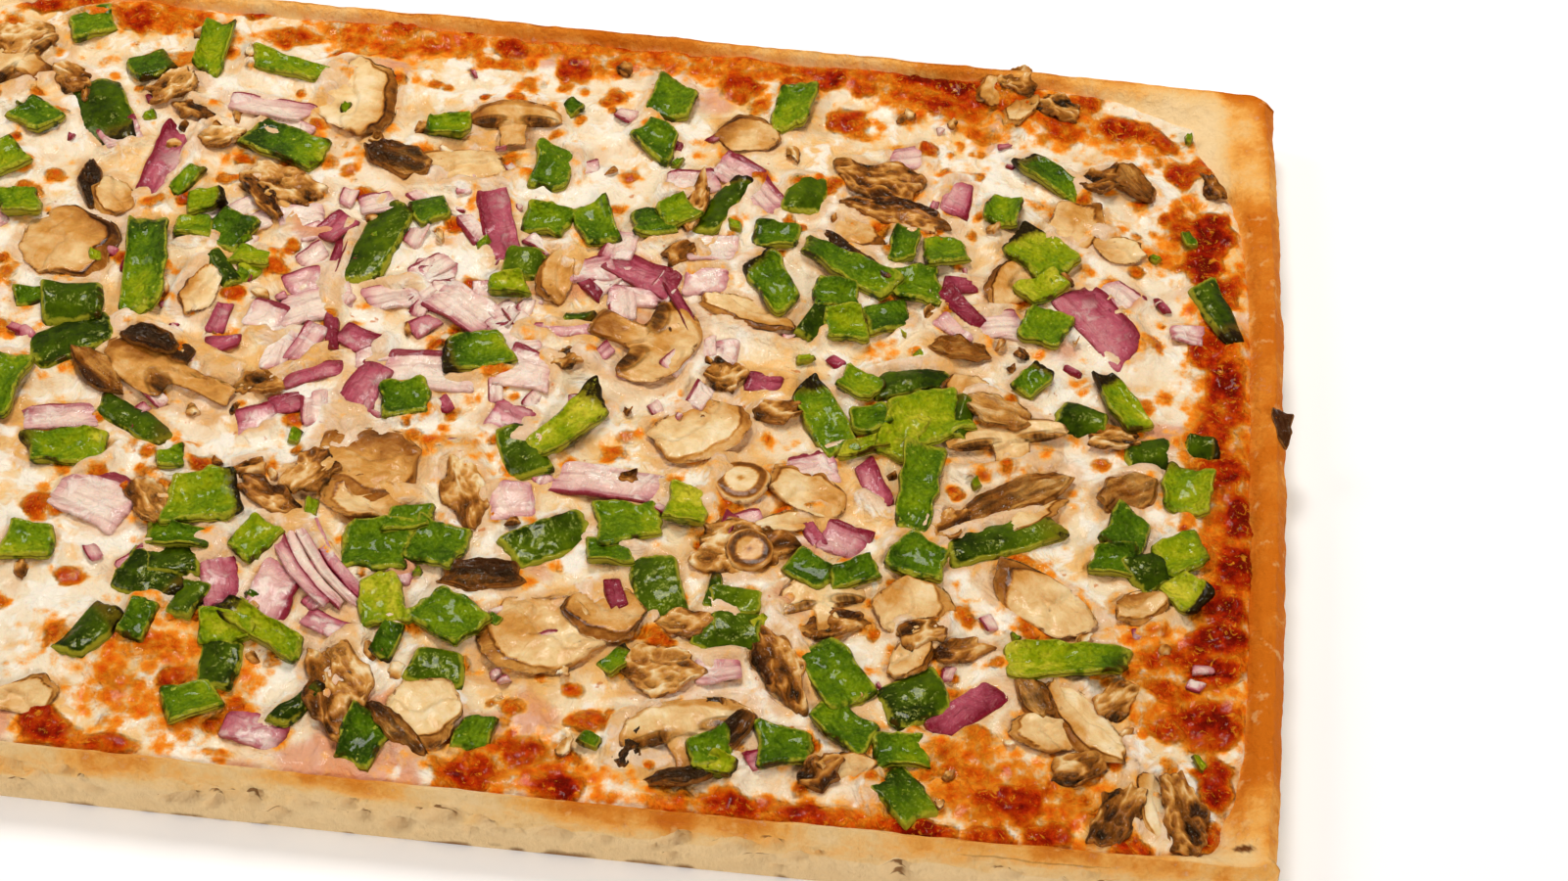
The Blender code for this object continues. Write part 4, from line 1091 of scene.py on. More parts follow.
class Piece:
    """A piece of topping about its own middle, in millimetres, before it is laid down."""

    def __init__(self, base, length, width, thick, reach, edge=8.0):
        self.mesh = base.copy()
        self.narrow = min(length, width)
        u, v, self.side = get_points(base).T
        flat_u = u * np.sqrt(1 - v * v / 2)
        flat_v = v * np.sqrt(1 - u * u / 2)
        self.far = np.clip(np.hypot(flat_u, flat_v), 0, 1)
        self.angle = np.arctan2(flat_v, flat_u)
        spread = self.far * np.interp(self.angle, ANGLES, reach, period=2 * math.pi)
        self.along = spread * np.cos(self.angle)
        self.across = spread * np.sin(self.angle)
        bulge = 0.12 * thick * (self.side == 0)
        self.x = self.along * length / 2 + bulge * np.cos(self.angle)
        self.y = self.across * width / 2 + bulge * np.sin(self.angle)
        crown = np.sqrt(np.clip(1 - self.far ** edge, 0, 1))
        self.z = self.side * (0.5 + 0.5 * crown) * thick / 2
        self.grain = (self.x.copy(), self.y.copy())

    def bend(self, arch=0.0, bow=0.0, twist=0.0, lean=0.0, curl=0.0, phase=0.0, sweep=0.0):
        """Arches the width, bows the length, twists the ends, leans the whole, curls the
        rim up on two sides and sweeps the ends sideways."""
        self.y += sweep * self.along ** 2
        self.z -= arch * self.across ** 2 + bow * self.along ** 2
        self.z += twist * self.along * self.across + lean * self.across
        lifted = 0.5 + 0.5 * np.cos(2 * self.angle - phase)
        self.z += curl * self.far ** 4 * lifted
        shrunk = 1 - 0.05 * curl * self.far ** 4 * lifted
        self.x *= shrunk
        self.y *= shrunk

    def crumple(self, depth, size, seed, crease=0.0, stretch=1.0):
        """Folds the piece up and down and pushes its outline about."""
        x, y = self.grain[0] / stretch, self.grain[1]
        fold = rough(x, y, size, seed)
        sharp = 1 - 2.2 * np.abs(rough(x, y, size * 1.1, seed + 9))
        sharp = 0.7 * sharp + 0.3 * (1 - 2.4 * np.abs(rough(x, y, size * 0.5, seed + 12)))
        fold = fold * (1 - crease) + sharp * crease
        self.z += depth * fold
        push = min(depth * 0.8, 0.07 * self.narrow)
        self.x += push * ripple(x, y, size * 0.9, seed + 5)
        self.y += push * ripple(x, y, size * 0.9, seed + 6)
        return fold

    def lay(self, x, y, height, turn):
        """Turns the piece and lays its middle at a place and a height."""
        away_x, away_y = turned(self.x, self.y, turn)
        z = np.minimum(height + self.z, TOP_LIMIT)
        set_points(self.mesh, np.stack([x + away_x, y + away_y, z], -1))

    def marked(self, tone, dark, extra, seed):
        """Writes the piece's masks, and sets its grain apart from the other pieces'."""
        even = np.ones_like(self.far)
        grain = (self.grain[0], self.grain[1] + seed * 9.3, self.side * 0.6 + seed * 2.1)
        mark(self.mesh, (self.far, tone * even, dark * even, extra * even), grain)
        return self.mesh


PLATES = {cells: plate(cells) for cells in (6, 12, 16, 22, 30, 40)}


def cells_for(length, width):
    """A plate whose cells come out about a millimetre wide."""
    return PLATES[next((c for c in sorted(PLATES) if c >= max(length, width) / 1.05), 40)]


def pepper_piece(seed, x, y, length, width, turn, skin, tone, fade=0.0, char=0.0, lift=0.0):
    """A piece of green pepper with its flesh or its skin up."""
    chance = np.random.default_rng(seed)
    corners = jittered(DICE, 0.27, chance)
    ragged = 0.09 * min(length, width) / max(length, width)
    reach = reach_of(corners, int(chance.integers(3, 7)), ragged, chance)
    piece = Piece(cells_for(length, width), length, width, PEPPER_THICK, reach, 10)
    arch = 1.6 * skin - 1.5 * (1 - skin)
    piece.bend(
        arch=arch * chance.uniform(0.6, 1.3),
        bow=chance.uniform(-0.6, 1.2) * length / 25,
        twist=chance.uniform(-1.0, 1.0),
        lean=chance.uniform(-1.2, 1.2),
        curl=chance.uniform(0.2, 2.6) * (1 - 0.6 * skin),
        phase=chance.uniform(0, 2 * math.pi),
    )
    piece.crumple(1.15 - 0.6 * skin, 6.0, seed, 0.35 * (1 - skin))
    end = piece.along * math.copysign(1, char)
    burn = abs(char) * soft_step(end + 0.25 * piece.across * chance.uniform(-1, 1), 0.35, 1.0)
    piece.z += 1.3 * burn
    piece.y *= 1 - 0.35 * burn
    burn += 0.25 * abs(char) * soft_step(piece.far, 0.8, 1.0)
    piece.lay(x, y, cheese_level(x, y)[0] + 0.5 + lift, turn)
    shade = tone + fade * piece.along - 0.08 * soft_step(piece.far, 0.55, 0.95)
    shade += chance.uniform(-0.10, 0.10)
    top_skin = np.where(piece.side > 0, skin, 1 - skin)
    return piece.marked(shade, burn, top_skin, seed)


def onion_piece(seed, x, y, length, width, turn, purple, bow, skin_side, lift=0.0, sweep=0.0):
    """A piece of one onion layer, curved along and across."""
    chance = np.random.default_rng(seed + 500)
    corners = jittered(DICE, 0.24, chance)
    ragged = 0.06 * min(length, width) / max(length, width)
    reach = reach_of(corners, int(chance.integers(3, 6)), ragged, chance)
    piece = Piece(cells_for(length, width), length, width, ONION_THICK, reach, 12)
    piece.bend(
        arch=chance.uniform(-1.0, 1.0),
        bow=bow * chance.uniform(0.4, 1.1),
        twist=chance.uniform(-0.8, 0.8),
        lean=chance.uniform(-0.8, 0.8),
        curl=chance.uniform(0.0, 1.1),
        phase=chance.uniform(0, 2 * math.pi),
        sweep=sweep,
    )
    piece.crumple(0.6, 6, seed + 40, 0.4)
    piece.lay(x, y, cheese_level(x, y)[0] + 0.35 + lift, turn)
    across = piece.across * skin_side
    line = soft_step(across, 0.68, 0.88) * abs(skin_side)
    line = line + (0.12 + 0.6 * purple) * soft_step(piece.far, 0.84, 0.98)
    line = np.where(piece.side == 0, line + 0.2 * purple, line)
    shade = 0.95 * purple - 0.04 + 0.16 * across + (0.34 - 0.2 * purple) * soft_step(piece.far, 0.45, 1.0)
    return piece.marked(shade, line, 0.0, seed)


def mushroom_piece(seed, x, y, length, width, turn, cut, brown, crumple, lift=0.0):
    """A cut of mushroom: a cap's flat face, a slice, a fold, a strip of gills or a ring."""
    chance = np.random.default_rng(seed + 900)
    outlines = {
        "slice": (SLICE, 2, 0.035),
        "fold": (jittered(ROUND, 0.30, chance), 2, 0.10),
        "gill": (jittered(ROUND, 0.20, chance), 3, 0.07),
        "ring": (ROUND, 6, 0.025),
        "cap": (jittered(ROUND, 0.17, chance), 2, 0.07),
    }
    corners, blur, ragged = outlines[cut]
    loose = cut in ("fold", "gill")
    finer = 1.4 if loose else 1.0
    reach = reach_of(corners, blur, ragged, chance)
    piece = Piece(cells_for(length * finer, width * finer), length, width, MUSHROOM_THICK, reach, 8)
    piece.bend(
        arch=chance.uniform(-1.0, 1.4),
        bow=chance.uniform(-0.8, 1.2),
        twist=chance.uniform(-1.0, 1.0),
        lean=chance.uniform(-1.1, 1.1),
        curl=chance.uniform(0.3, 1.8) * (cut != "ring"),
        phase=chance.uniform(0, 2 * math.pi),
    )
    if loose:
        fold = piece.crumple(crumple * 1.6, 4.2, seed + 80, 0.7, 1.7)
    else:
        fold = piece.crumple(crumple * 1.2, 9, seed + 80, 0.4)
    skin_way = chance.uniform(0, 2 * math.pi)
    side_ways = 0.5 + 0.5 * np.cos(piece.angle - skin_way)
    band_from = 1.12 - 0.46 * side_ways ** 1.5 + 0.07 * ripple(*piece.grain, 4.0, seed + 3)
    band = soft_step(piece.far, band_from, band_from + 0.07) * (piece.side > 0)
    if cut in ("cap", "slice"):
        piece.z -= 1.1 * soft_step(piece.far, band_from, 1.05) * (piece.side > 0)
    piece.lay(x, y, cheese_level(x, y)[0] + 1.0 + lift, turn)
    tan = brown * 0.7 + 0.25 * (piece.side == 0)
    way = chance.uniform(0, 2 * math.pi)
    sideways = piece.along * math.cos(way) + piece.across * math.sin(way)
    tan = tan + chance.uniform(0.05, 0.4) * soft_step(sideways, -0.2, 1.0) + chance.uniform(-0.08, 0.1)
    dark = 0.12 * brown
    # How deep a point lies in its folds, which the finish paints browner as shade.
    painted_fold_shade = 0.5 - 0.5 * fold if loose else 0.3 - 0.3 * fold
    if cut == "slice":
        beside = np.abs(np.abs(piece.across) - 0.55) / 0.42
        below = np.abs(piece.along - 0.10 + 0.25 * np.abs(piece.across)) / 0.24
        gills = 1 - soft_step(np.hypot(beside, below), 0.35, 1.2)
        dark = dark + gills * 0.62
        tan = tan + 0.35 * gills + 0.20 * band
    elif cut == "cap":
        line = np.exp(-((piece.far - band_from - 0.03) / 0.035) ** 2)
        tan = tan + 0.26 * band + 0.4 * line
        dark = dark + 0.30 * band * chance.uniform(0.0, 1.0)
    elif cut == "gill":
        dark = brown * (1 - 0.7 * soft_step(piece.far, 0.80, 1.0)) * (0.75 + 0.35 * fold)
    elif cut == "fold":
        # The valleys of the folds are darkened, partly burnt and partly painted shade, and their ridges
        # are painted lighter as highlight.
        dark = dark + soft_step(-fold, -0.3, 0.5) * (0.25 + brown * 0.85)
        tan = tan - 0.35 * soft_step(fold, 0.2, 0.8)
    elif cut == "ring":
        ring = soft_step(piece.far, 0.55, 0.66) * (1 - soft_step(piece.far, 0.84, 0.96))
        eye = 1 - soft_step(piece.far, 0.06, 0.16)
        tan = tan * 0.5 + 0.62 * ring + 0.4 * eye
    return piece.marked(tan, dark, painted_fold_shade, seed)


def joined(name, meshes):
    """One mesh of many."""
    bm = bmesh.new()
    for mesh in meshes:
        bm.from_mesh(mesh)
    return finished(bm, name)


def node_middle(node):
    """The middle of a node, in millimetres."""
    low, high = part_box(node)
    return (low.x + high.x) / 2 / MM, (low.y + high.y) / 2 / MM


# Each kind of topping: the rows of its nodes and of its smaller pieces, what makes a piece
# and what makes its finish, and its slot
FAMILIES = [
    ("pepper", PEPPER_NODES, SMALL_PEPPERS, pepper_piece, pepper_finish, "green_pepper"),
    ("onion", ONION_NODES, SMALL_ONIONS, onion_piece, onion_finish, "red_onion"),
    ("mushroom", MUSHROOM_NODES, SMALL_MUSHROOMS, mushroom_piece, mushroom_finish, "mushroom"),
]


def layered_onion(x, y, turn):
    """Nested curved layers of onion that still lie side by side."""
    strips = []
    for index, (across, along, length, purple) in enumerate(LAYER_STRIPS):
        away_x, away_y = turned(along, across, turn)
        skin_side = 1 - 2 * (index % 2)
        strips.append(onion_piece(
            index + 300, x + away_x, y + away_y, length, STRIP_WIDTH, turn, purple, 1.2, skin_side,
            lift=0.9, sweep=2.4,
        ))
    return joined("layered onion", strips)


def scraps(footprints):
    """Crumbs of pepper, onion and mushroom scattered over the cheese between the pieces."""
    chance = np.random.default_rng(41)
    made = {"pepper": [], "onion": [], "mushroom": []}
    for index in range(CRUMBS):
        x, y = chance.uniform(-206, 204), chance.uniform(-136, 136)
        length = chance.uniform(2.2, 6.5)
        width = length * chance.uniform(0.45, 0.9)
        turn = chance.uniform(0, 180)
        family = chance.choice(["pepper", "onion", "onion", "mushroom", "mushroom"])
        shade = chance.uniform(0.1, 0.9)
        if index >= CRUMBS - CRUMBS_IN_DRIFT:
            x, y = (chance.normal(*spread) for spread in zip(DRIFT_MIDDLE, DRIFT_SPREAD))
            length *= 2.2
            width *= 2
            family = "onion"
            shade *= 0.3
        if any(math.hypot(x - px, y - py) < (long + wide) / 4.2 for px, py, long, wide, _ in footprints):
            continue
        if family == "pepper":
            mesh = pepper_piece(index, x, y, length, width, turn, 0.4, shade, 0.0, 0.3, -0.8)
        elif family == "onion":
            mesh = onion_piece(index, x, y, length, width, turn, shade, 0.3, 1, -0.3)
        else:
            mesh = mushroom_piece(index, x, y, length, width, turn, "fold", shade, 0.5, -0.8)
        made[family].append(mesh)
    return made


def toppings():
    """Makes every piece of topping and returns the ground that each one covers."""
    footprints = [row[:5] for _, _, small_rows, *_ in FAMILIES for row in small_rows]
    crumbs = scraps(footprints)
    finishes = {}
    for family, node_rows, small_rows, maker, finish_maker, slot in FAMILIES:
        finish = finishes[family] = finish_maker()
        for index, row in enumerate(node_rows):
            node = f"{family}_{index + 1:02d}"
            x, y = node_middle(node)
            if node == LAYERED_ONION:
                mesh = layered_onion(x, y, row[2])
            else:
                mesh = maker(index + 1, x, y, *row)
            add_piece(f"{node}_piece", mesh, finish, slot, node)
            footprints.append((x, y, *row[:3]))
        small = crumbs[family]
        for index, row in enumerate(small_rows):
            small.append(maker(index + 100, *row))
        for batch, start in enumerate(range(0, len(small), MOST_JOINED)):
            name = f"small_{family}s_{batch + 1}"
            add_piece(name, joined(name, small[start:start + MOST_JOINED]), finish, slot, "cheese")
    curled_crumb(finishes["mushroom"])
    return footprints


def covered(x, y, footprints):
    """How far each point of the cheese is pushed down or drawn up by the pieces on it, and
    how close beside one it lies, from 0 to 1. It runs over one side of some pieces."""
    shift = np.zeros_like(x)
    beside = np.zeros_like(x)
    chance = np.random.default_rng(77)
    for px, py, length, width, turn in footprints:
        near = np.nonzero((np.abs(x - px) < length) & (np.abs(y - py) < length))[0]
        run, rise = seen_from(x[near], y[near], px, py, turn)
        along = run / (length / 2)
        across = rise / (width / 2)
        norm = (along ** 4 + across ** 4) ** 0.25
        away = (norm - 1) * min(length, width) / 2
        uneven = 0.75 + 0.55 * ripple(x[near], y[near], 5.0, 29)
        drawn_up = 1.25 * uneven * np.exp(-((away - 0.2) / 1.8) ** 2)
        sunk = -0.7 * soft_step(-away, 0.8, 3.0)
        moved = drawn_up + sunk
        way = chance.uniform(0, 2 * math.pi)
        over = 3.0 * (chance.uniform(0, 1) < SHARE_VEILED)
        toward = along * math.cos(way) + across * math.sin(way) + 0.30 * ripple(x[near], y[near], 3.5, 37)
        veil = over * soft_step(toward, 0.40, 0.85) * (1 - soft_step(away, 0.5, 4.0))
        moved = np.maximum(moved, veil)
        shift[near] = np.where(np.abs(moved) > np.abs(shift[near]), moved, shift[near])
        beside[near] = np.maximum(beside[near], np.exp(-(np.maximum(away, 0) / 2.0) ** 2))
    return shift, beside


def browning(x, y):
    """How browned the cheese is, from 0 to about 1.2."""
    brown = np.zeros_like(x)
    wander = 1 + 0.30 * ripple(x, y, 4, 31) + 0.28 * ripple(x, y, 11, 35)
    for px, py, length, width, turn, strength in BLISTERS:
        run, rise = seen_from(x, y, px, py, turn)
        along = run / (length / 2)
        across = rise / (width / 2)
        away = np.sqrt(along ** 2 + across ** 2) * wander
        spot = strength * (1 - soft_step(away, 0.35, 1.35))
        brown = np.maximum(brown, spot)
    chance = np.random.default_rng(8)
    torn = 1 + 0.3 * ripple(x, y, 2.5, 33)
    for _ in range(BROWN_SPOTS):
        px, py = chance.uniform(-204, 204), chance.uniform(-138, 138)
        size = chance.uniform(1.4, 4.2)
        strength = chance.uniform(0.3, 0.8)
        drift = float(ripple(np.array([px]), np.array([py]), 34, 39)[0])
        if drift < chance.uniform(-0.9, 0.6):
            continue
        near = np.nonzero((np.abs(x - px) < 2 * size) & (np.abs(y - py) < 2 * size))[0]
        away = np.hypot(x[near] - px, y[near] - py) / size * torn[near]
        brown[near] = np.maximum(brown[near], strength * (1 - soft_step(away, 0.05, 1.7)))
    return brown


def edge_distance(x, y):
    """How far in from the topping's edge each point lies."""
    ends = HALF_LONG - RIM_END - np.abs(x) - BOW_END * (y / HALF_WIDE) ** 2
    sides = HALF_WIDE - RIM_SIDE - np.abs(y) - BOW_SIDE * (x / HALF_LONG) ** 2
    return np.minimum(ends, sides)


def cheese_sheet(footprints):
    """The melted cheese, fine enough for its blisters, with a wall down to the sauce."""
    bm = bmesh.new()
    bmesh.ops.create_grid(bm, x_segments=CHEESE_CELLS[0], y_segments=CHEESE_CELLS[1], size=1.0)
    edge = [e for e in bm.edges if e.is_boundary]
    wall = bmesh.ops.extrude_edge_only(bm, edges=edge)
    bmesh.ops.translate(bm, verts=new_points(wall), vec=(0, 0, -1))
    bmesh.ops.edgeloop_fill(bm, edges=[e for e in bm.edges if e.is_boundary])
    bmesh.ops.recalc_face_normals(bm, faces=bm.faces[:])
    mesh = finished(bm, "cheese")
    u, v, layer = get_points(mesh).T
    half_long = HALF_LONG - RIM_END + CHEESE_OVER_END
    half_wide = HALF_WIDE - RIM_SIDE + CHEESE_OVER_SIDE
    x, y = laid_out(u, v, half_long, half_wide)
    from_edge = np.minimum((1 - np.abs(u)) * half_long, (1 - np.abs(v)) * half_wide)
    wander = 1.6 * rough(x, y, 14, 51) * soft_step(np.maximum(np.abs(u), np.abs(v)), 0.9, 1.0)
    x = x * (1 - 0.004 * wander * (np.abs(u) > 0.9))
    y = y * (1 - 0.006 * wander * (np.abs(v) > 0.9))
    x, y = pulled_in(x, y)
    brown = browning(x, y)
    inward = edge_distance(x, y)
    z = cheese_level(x, y) - 0.35
    lumps = rough(x, y, 10, 11) + 0.65 * rough(x, y, 4.4, 14)
    z += 0.85 * lumps
    shift, beside = covered(x, y, footprints)
    z += shift
    blister = soft_step(brown, 0.35, 1.0)
    z += blister * (0.55 + 0.75 * ripple(x, y, 2.6, 21) + 0.4 * ripple(x, y, 1.5, 23))
    z += 0.9 * np.exp(-(inward / 5.0) ** 2)
    z -= 1.9 * np.exp(-(from_edge / 2.2) ** 2)
    z = np.where(layer < -0.5, CHEESE_FOOT, z)
    set_points(mesh, np.stack([x, y, z], -1))
    blush = soft_step(rough(x, y, 26, 61) + 0.5 * np.exp(-(inward / 16) ** 2), 0.30, 0.95)
    curds = soft_step(rough(x, y, 13, 71), 0.50, 0.85) * (1 - blister)
    mark(mesh, (brown, blush, curds, beside), (x, y, lumps))
    return mesh


def rim_ring(around, share_end, share_side, height, pull):
    """One ring of the crust's points, set in from its outer edge."""
    u, v = around
    x, y = laid_out(u, v, HALF_LONG - share_end * RIM_END, HALF_WIDE - share_side * RIM_SIDE)
    pulled_x, pulled_y = pulled_in(x, y)
    return x + (pulled_x - x) * pull, y + (pulled_y - y) * pull, np.full_like(x, height)


def square_walk(count):
    """Points round the unit square, evenly spaced along the crust's real sides."""
    half = HALF_LONG + HALF_WIDE
    place = np.arange(count) / count * 4 * half
    corner = np.array([0, 2 * HALF_LONG, 2 * half, 2 * half + 2 * HALF_LONG, 4 * half])
    u = np.interp(place, corner, [-1, 1, 1, -1, -1])
    v = np.interp(place, corner, [-1, -1, 1, 1, -1])
    return u, v


def crust_shell():
    """The dough's wall, shoulder and rim, lofted ring by ring over a floor."""
    around = square_walk(RIM_POINTS)
    stretches = [np.linspace(low, high, rings + 1)[1:] for low, high, rings in RIM_RINGS]
    fine = np.concatenate([[0.0], *stretches])
    columns = np.array(RIM_PROFILE).T
    profile = [np.interp(fine, range(len(RIM_PROFILE)), column) for column in columns]
    for column in profile:
        column[2:-2] = (column[:-4] + column[1:-3] + column[2:-2] + column[3:-1] + column[4:]) / 5
    bm = bmesh.new()
    order = bm.verts.layers.int.new("order")
    bmesh.ops.create_circle(bm, segments=RIM_POINTS, radius=1.0)
    bm.verts.ensure_lookup_table()
    for index, vert in enumerate(bm.verts):
        vert[order] = index
    edges = bm.edges[:]
    bmesh.ops.edgeloop_fill(bm, edges=edges)
    for level in range(1, len(fine)):
        grown = bmesh.ops.extrude_edge_only(bm, edges=edges)
        edges = [item for item in grown["geom"] if isinstance(item, bmesh.types.BMEdge)]
        for point in new_points(grown):
            point[order] = point[order] % RIM_POINTS + level * RIM_POINTS
        edges = [e for e in edges if all(v[order] >= level * RIM_POINTS for v in e.verts)]
    bmesh.ops.edgeloop_fill(bm, edges=edges)
    bmesh.ops.recalc_face_normals(bm, faces=bm.faces[:])
    mesh = finished(bm, "crust")
    rank = np.empty(len(mesh.vertices), np.int32)
    mesh.attributes["order"].data.foreach_get("value", rank)
    level = rank // RIM_POINTS
    step = rank % RIM_POINTS
    x, y, z = np.empty(len(rank)), np.empty(len(rank)), np.empty(len(rank))
    for index in range(len(fine)):
        pull = max(0.0, (profile[1][index] - 0.55) / 0.45)
        ring = rim_ring(around, profile[0][index], profile[1][index], profile[2][index], min(pull, 1.1))
        here = level == index
        x[here], y[here], z[here] = (part[step[here]] for part in ring)
    place = fine[level] / fine[-1]
    relief, golden, painted_shade_and_dark_foot, dark = crust_marks(x, y, z, place)
    on_wall = soft_step(z, 0.5, 4.0) * (1 - soft_step(place, 0.60, 0.75))
    out_x = np.where(np.abs(x) / HALF_LONG > np.abs(y) / HALF_WIDE + 0.02, np.sign(x), 0)
    out_y = np.where(out_x == 0, np.sign(y), 0)
    x = x + relief * out_x * on_wall
    y = y + relief * out_y * on_wall
    bumps = 0.7 * rough(x, y, 15, 91) + 0.4 * rough(x, y, 5, 94)
    z = z + bumps * soft_step(place, 0.45, 0.65)
    x = np.clip(x, -HALF_LONG, HALF_LONG)
    y = np.clip(y, -HALF_WIDE, HALF_WIDE)
    set_points(mesh, np.stack([x, y, z], -1))
    mark(mesh, (golden, painted_shade_and_dark_foot, dark, place), (x, y, z))
    return mesh


def crust_marks(x, y, z, place):
    """Relief of the walls, how golden the dough is, the painted shade of its pits and groove with its
    darker foot, and its crack, painted as a dark slit of shade.
    """
    on_end = np.abs(x) / HALF_LONG > np.abs(y) / HALF_WIDE
    run = np.where(on_end, y + END_OFFSET * np.sign(x), x + SIDE_OFFSET * np.sign(y))
    relief = 0.6 * rough(run, z * 1.6, 12, 101) + 0.45 * rough(run, z * 1.8, 4.5, 104) - 1.3
    flat = np.zeros_like(run)
    crease = 11.0 + 2.6 * ripple(run, flat, 12, 121)
    creased = soft_step(ripple(run, flat, 45, 125) + 0.3 * np.sign(x), 0.0, 0.5)
    relief = relief - 0.55 * creased * (1 - soft_step(z, crease - 0.6, crease + 0.6))
    painted_shade_and_dark_foot = np.zeros_like(x)
    torn = ripple(run, z * 1.5, 2.2, 127)
    chance = np.random.default_rng(17)
    rows = [(px - SIDE_OFFSET, height, size, depth) for px, height, size, depth in FRONT_DENTS]
    walls = [
        (SIDE_OFFSET, HALF_LONG),
        (END_OFFSET, HALF_WIDE),
        (-END_OFFSET, HALF_WIDE),
        (-SIDE_OFFSET, HALF_LONG),
    ]
    for side, span in walls:
        for _ in range(int(2 * span / DENT_SPACING)):
            px = side + chance.uniform(-span, span)
            size = 2.5 + 8.5 * chance.uniform(0, 1) ** 2
            rows.append((px, chance.uniform(4, 18), size, chance.uniform(0.35, 1.1)))
    for middle, height, size, depth in rows:
        lean = 0.35 * math.sin(middle * 7.0)
        rise = z - height + lean * (run - middle) + 0.5 * torn
        tall = 1.2 + 0.16 * size
        rise = np.where(rise > 0, rise / tall, rise / (1.6 * tall))
        away = np.hypot((run - middle) / size * 2, rise) * (1 + 0.25 * torn)
        dent = depth * (1 - soft_step(away, 0.35, 1.0))
        relief = relief - 2.4 * dent + 0.4 * depth * np.exp(-((away - 1.15) / 0.2) ** 2)
        # The upper inside of each pit is painted as shade.
        painted_shade_and_dark_foot = np.maximum(painted_shade_and_dark_foot, 2.2 * dent * soft_step(rise, -0.05, 0.35))
    droop = 2.8 * ripple(run, flat, 17, 131) + 1.4 * ripple(run, flat, 6, 133)
    shoulder = soft_step(z + droop, 13.5, 22.5)
    golden = 0.18 + 0.24 * shoulder + 0.34 * rough(x, y, 26, 111) * shoulder
    golden += 0.16 * (y < 0) * soft_step(x, -110, 20) * shoulder
    golden += 0.32 * soft_step(y, 139, 149) * shoulder
    ends = soft_step(np.abs(x), 201, 212) * (1 - 0.5 * soft_step(-y, 95, 145))
    golden += ends * shoulder * (0.40 + 0.22 * ripple(x, y, 14, 135))
    golden -= 0.16 * (1 - soft_step(z, 5, 15)) * (place < 0.5)
    golden += 0.20 * creased * soft_step(z, crease - 0.5, crease + 1.5) * (1 - shoulder)
    inner = soft_step(place, 0.68, 0.80)
    for corner_x, corner_y, radius, _ in BARE_CORNERS:
        near = np.exp(-(np.hypot(x - corner_x, y - corner_y) / radius) ** 2)
        golden -= 0.30 * near * inner
    # A groove along the shoulder that is only painted: a dark line of shade with no relief.
    along_shoulder = 0.50 + 0.035 * ripple(run, flat, 60, 137) + 0.012 * ripple(run, flat, 9, 139)
    broken = soft_step(ripple(run, flat, 38, 141), -0.4, 0.1)
    groove = np.exp(-((place - along_shoulder) / 0.012) ** 2) * broken
    painted_shade_and_dark_foot = np.maximum(painted_shade_and_dark_foot, 0.45 * groove)
    # The foot of the wall is darker in patches.
    foot = (1 - soft_step(z, 0.8, 3.4)) * soft_step(ripple(run, z * 2, 5, 143), -0.3, 0.7)
    painted_shade_and_dark_foot = np.maximum(painted_shade_and_dark_foot, 0.7 * foot * (place < 0.4))
    # The crack has no relief: it is painted as a dark slit of shade.
    crack_x, crack_y, crack_long, crack_wide = CRACK
    from_crack = np.hypot((x - crack_x) / crack_long, (y - crack_y) / crack_wide)
    dark = 1 - soft_step(from_crack, 0.3, 1.6)
    return relief, golden, painted_shade_and_dark_foot, dark


def curled_crumb(finish):
    """The dark curled crumb on the right rim."""
    chance = np.random.default_rng(5)
    reach = reach_of(jittered(ROUND, 0.25, chance), 3, 0.1, chance)
    x, y, turn, length, width = RIM_CRUMB
    piece = Piece(PLATES[22], length, width, 1.6, reach, 6)
    piece.bend(arch=-1.2, bow=1.0, twist=1.2)
    piece.crumple(1.0, 4, 5)
    piece.lay(x, y, CREST - 1.0, turn)
    add_piece("rim_crumb", piece.marked(0.9, 0.3, 0.5, 5), finish, "baked_dough", "crust")


def layers(footprints):
    """The dough, the sauce and the cheese."""
    dough = dough_finish()
    add_piece("crust_shell", crust_shell(), dough, "baked_dough", "crust")
    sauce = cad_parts["sauce"]
    sauce.data.materials.clear()
    sauce.data.materials.append(sauce_finish())
    add_piece("cheese_sheet", cheese_sheet(footprints), cheese_finish(), "melted_cheese", "cheese")


def plain(name, colour, roughness, glow):
    """A material of one colour that gives off a little light."""
    made = bpy.data.materials.new(name)
    made.use_nodes = True
    shader = made.node_tree.nodes["Principled BSDF"]
    shader.inputs["Base Color"].default_value = colour
    shader.inputs["Roughness"].default_value = roughness
    shader.inputs["Emission Color"].default_value = colour
    shader.inputs["Emission Strength"].default_value = glow
    return made


def floor():
    """A plain pale floor."""
    bm = bmesh.new()
    bmesh.ops.create_grid(bm, x_segments=1, y_segments=1, size=4.0)
    mesh = finished(bm, "floor")
    mesh.materials.append(plain("white floor", (0.97, 0.96, 0.955, 1.0), 0.8, 0.10))
    ground = bpy.data.objects.new("floor", mesh)
    bpy.context.scene.collection.objects.link(ground)


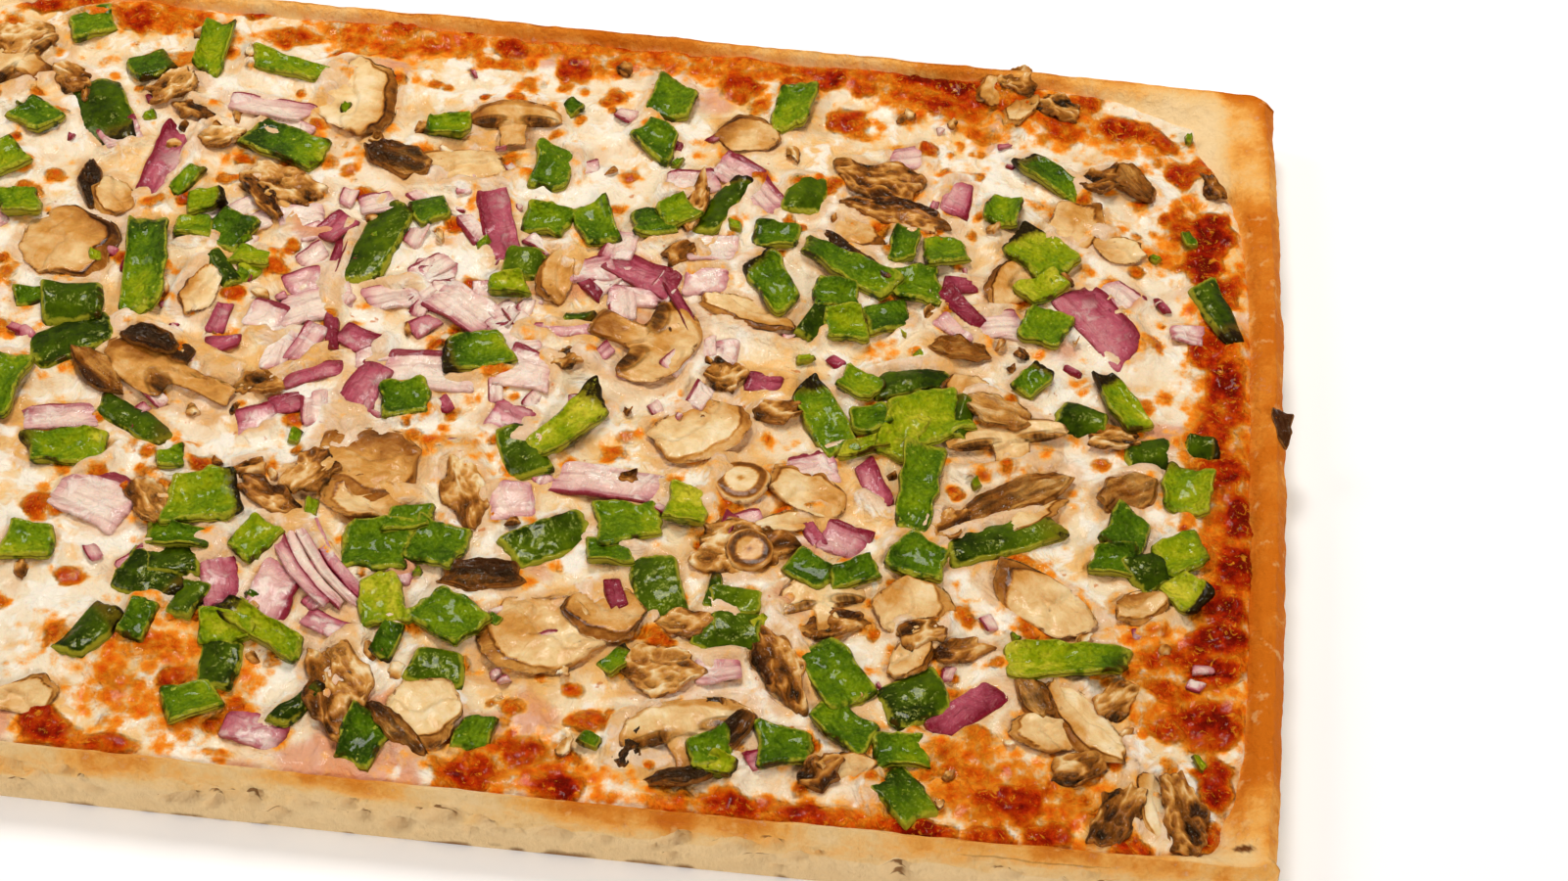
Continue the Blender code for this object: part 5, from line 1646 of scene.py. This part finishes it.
def lamp(name, kind, place, power, colour, **settings):
    """A lamp that faces the middle of the pizza."""
    light = bpy.data.lights.new(name, kind)
    light.energy = power
    light.color = colour
    for key, value in settings.items():
        setattr(light, key, value)
    made = bpy.data.objects.new(name, light)
    made.location = place
    made.rotation_euler = (-Vector(place)).to_track_quat("-Z", "Y").to_euler()
    bpy.context.scene.collection.objects.link(made)


def studio():
    """Even white light from all round, a softbox behind for wet glints, and two broad lamps."""
    world = bpy.data.worlds.new("studio")
    bpy.context.scene.world = world
    world.use_nodes = True
    sky = world.node_tree.nodes["Background"]
    sky.inputs["Color"].default_value = (1.0, 0.99, 0.98, 1.0)
    sky.inputs["Strength"].default_value = 0.23
    lamp("key softbox", "AREA", (-0.15, 0.58, 1.35), 11.5, (1.0, 0.98, 0.95), shape="SQUARE", size=0.36)
    lamp("side lamp", "SUN", (-1.3, 0.1, 1.2), 0.66, (1.0, 0.97, 0.93), angle=math.radians(20))
    lamp("fill lamp", "SUN", (1.0, -1.2, 1.2), 1.26, (1.0, 0.97, 0.93), angle=math.radians(14))
    bpy.context.scene.view_settings.view_transform = "Standard"
    bpy.context.scene.view_settings.look = "None"


def camera():
    """The photograph's view."""
    tilt = math.radians(CAMERA_TILT)
    swing = math.radians(CAMERA_SWING)
    roll = math.radians(CAMERA_ROLL)
    back = Vector((math.sin(swing) * math.cos(tilt), -math.cos(swing) * math.cos(tilt), math.sin(tilt)))
    right = (-back).cross(Vector((0, 0, 1))).normalized()
    up = right.cross(-back)
    turned_right = math.cos(roll) * right + math.sin(roll) * up
    turned_up = -math.sin(roll) * right + math.cos(roll) * up
    lens = bpy.data.cameras.new("camera")
    lens.sensor_width = SENSOR_WIDE
    lens.lens = FOCAL_PIXELS * SENSOR_WIDE / IMAGE_WIDE
    lens.clip_start = 0.01
    eye = bpy.data.objects.new("camera", lens)
    turn = Matrix((turned_right, turned_up, back)).transposed().to_4x4()
    eye.matrix_world = Matrix.Translation(Vector(CAMERA_AIM) + back * CAMERA_AWAY) @ turn
    bpy.context.scene.collection.objects.link(eye)
    bpy.context.scene.camera = eye


camera()
floor()
studio()
layers(toppings())
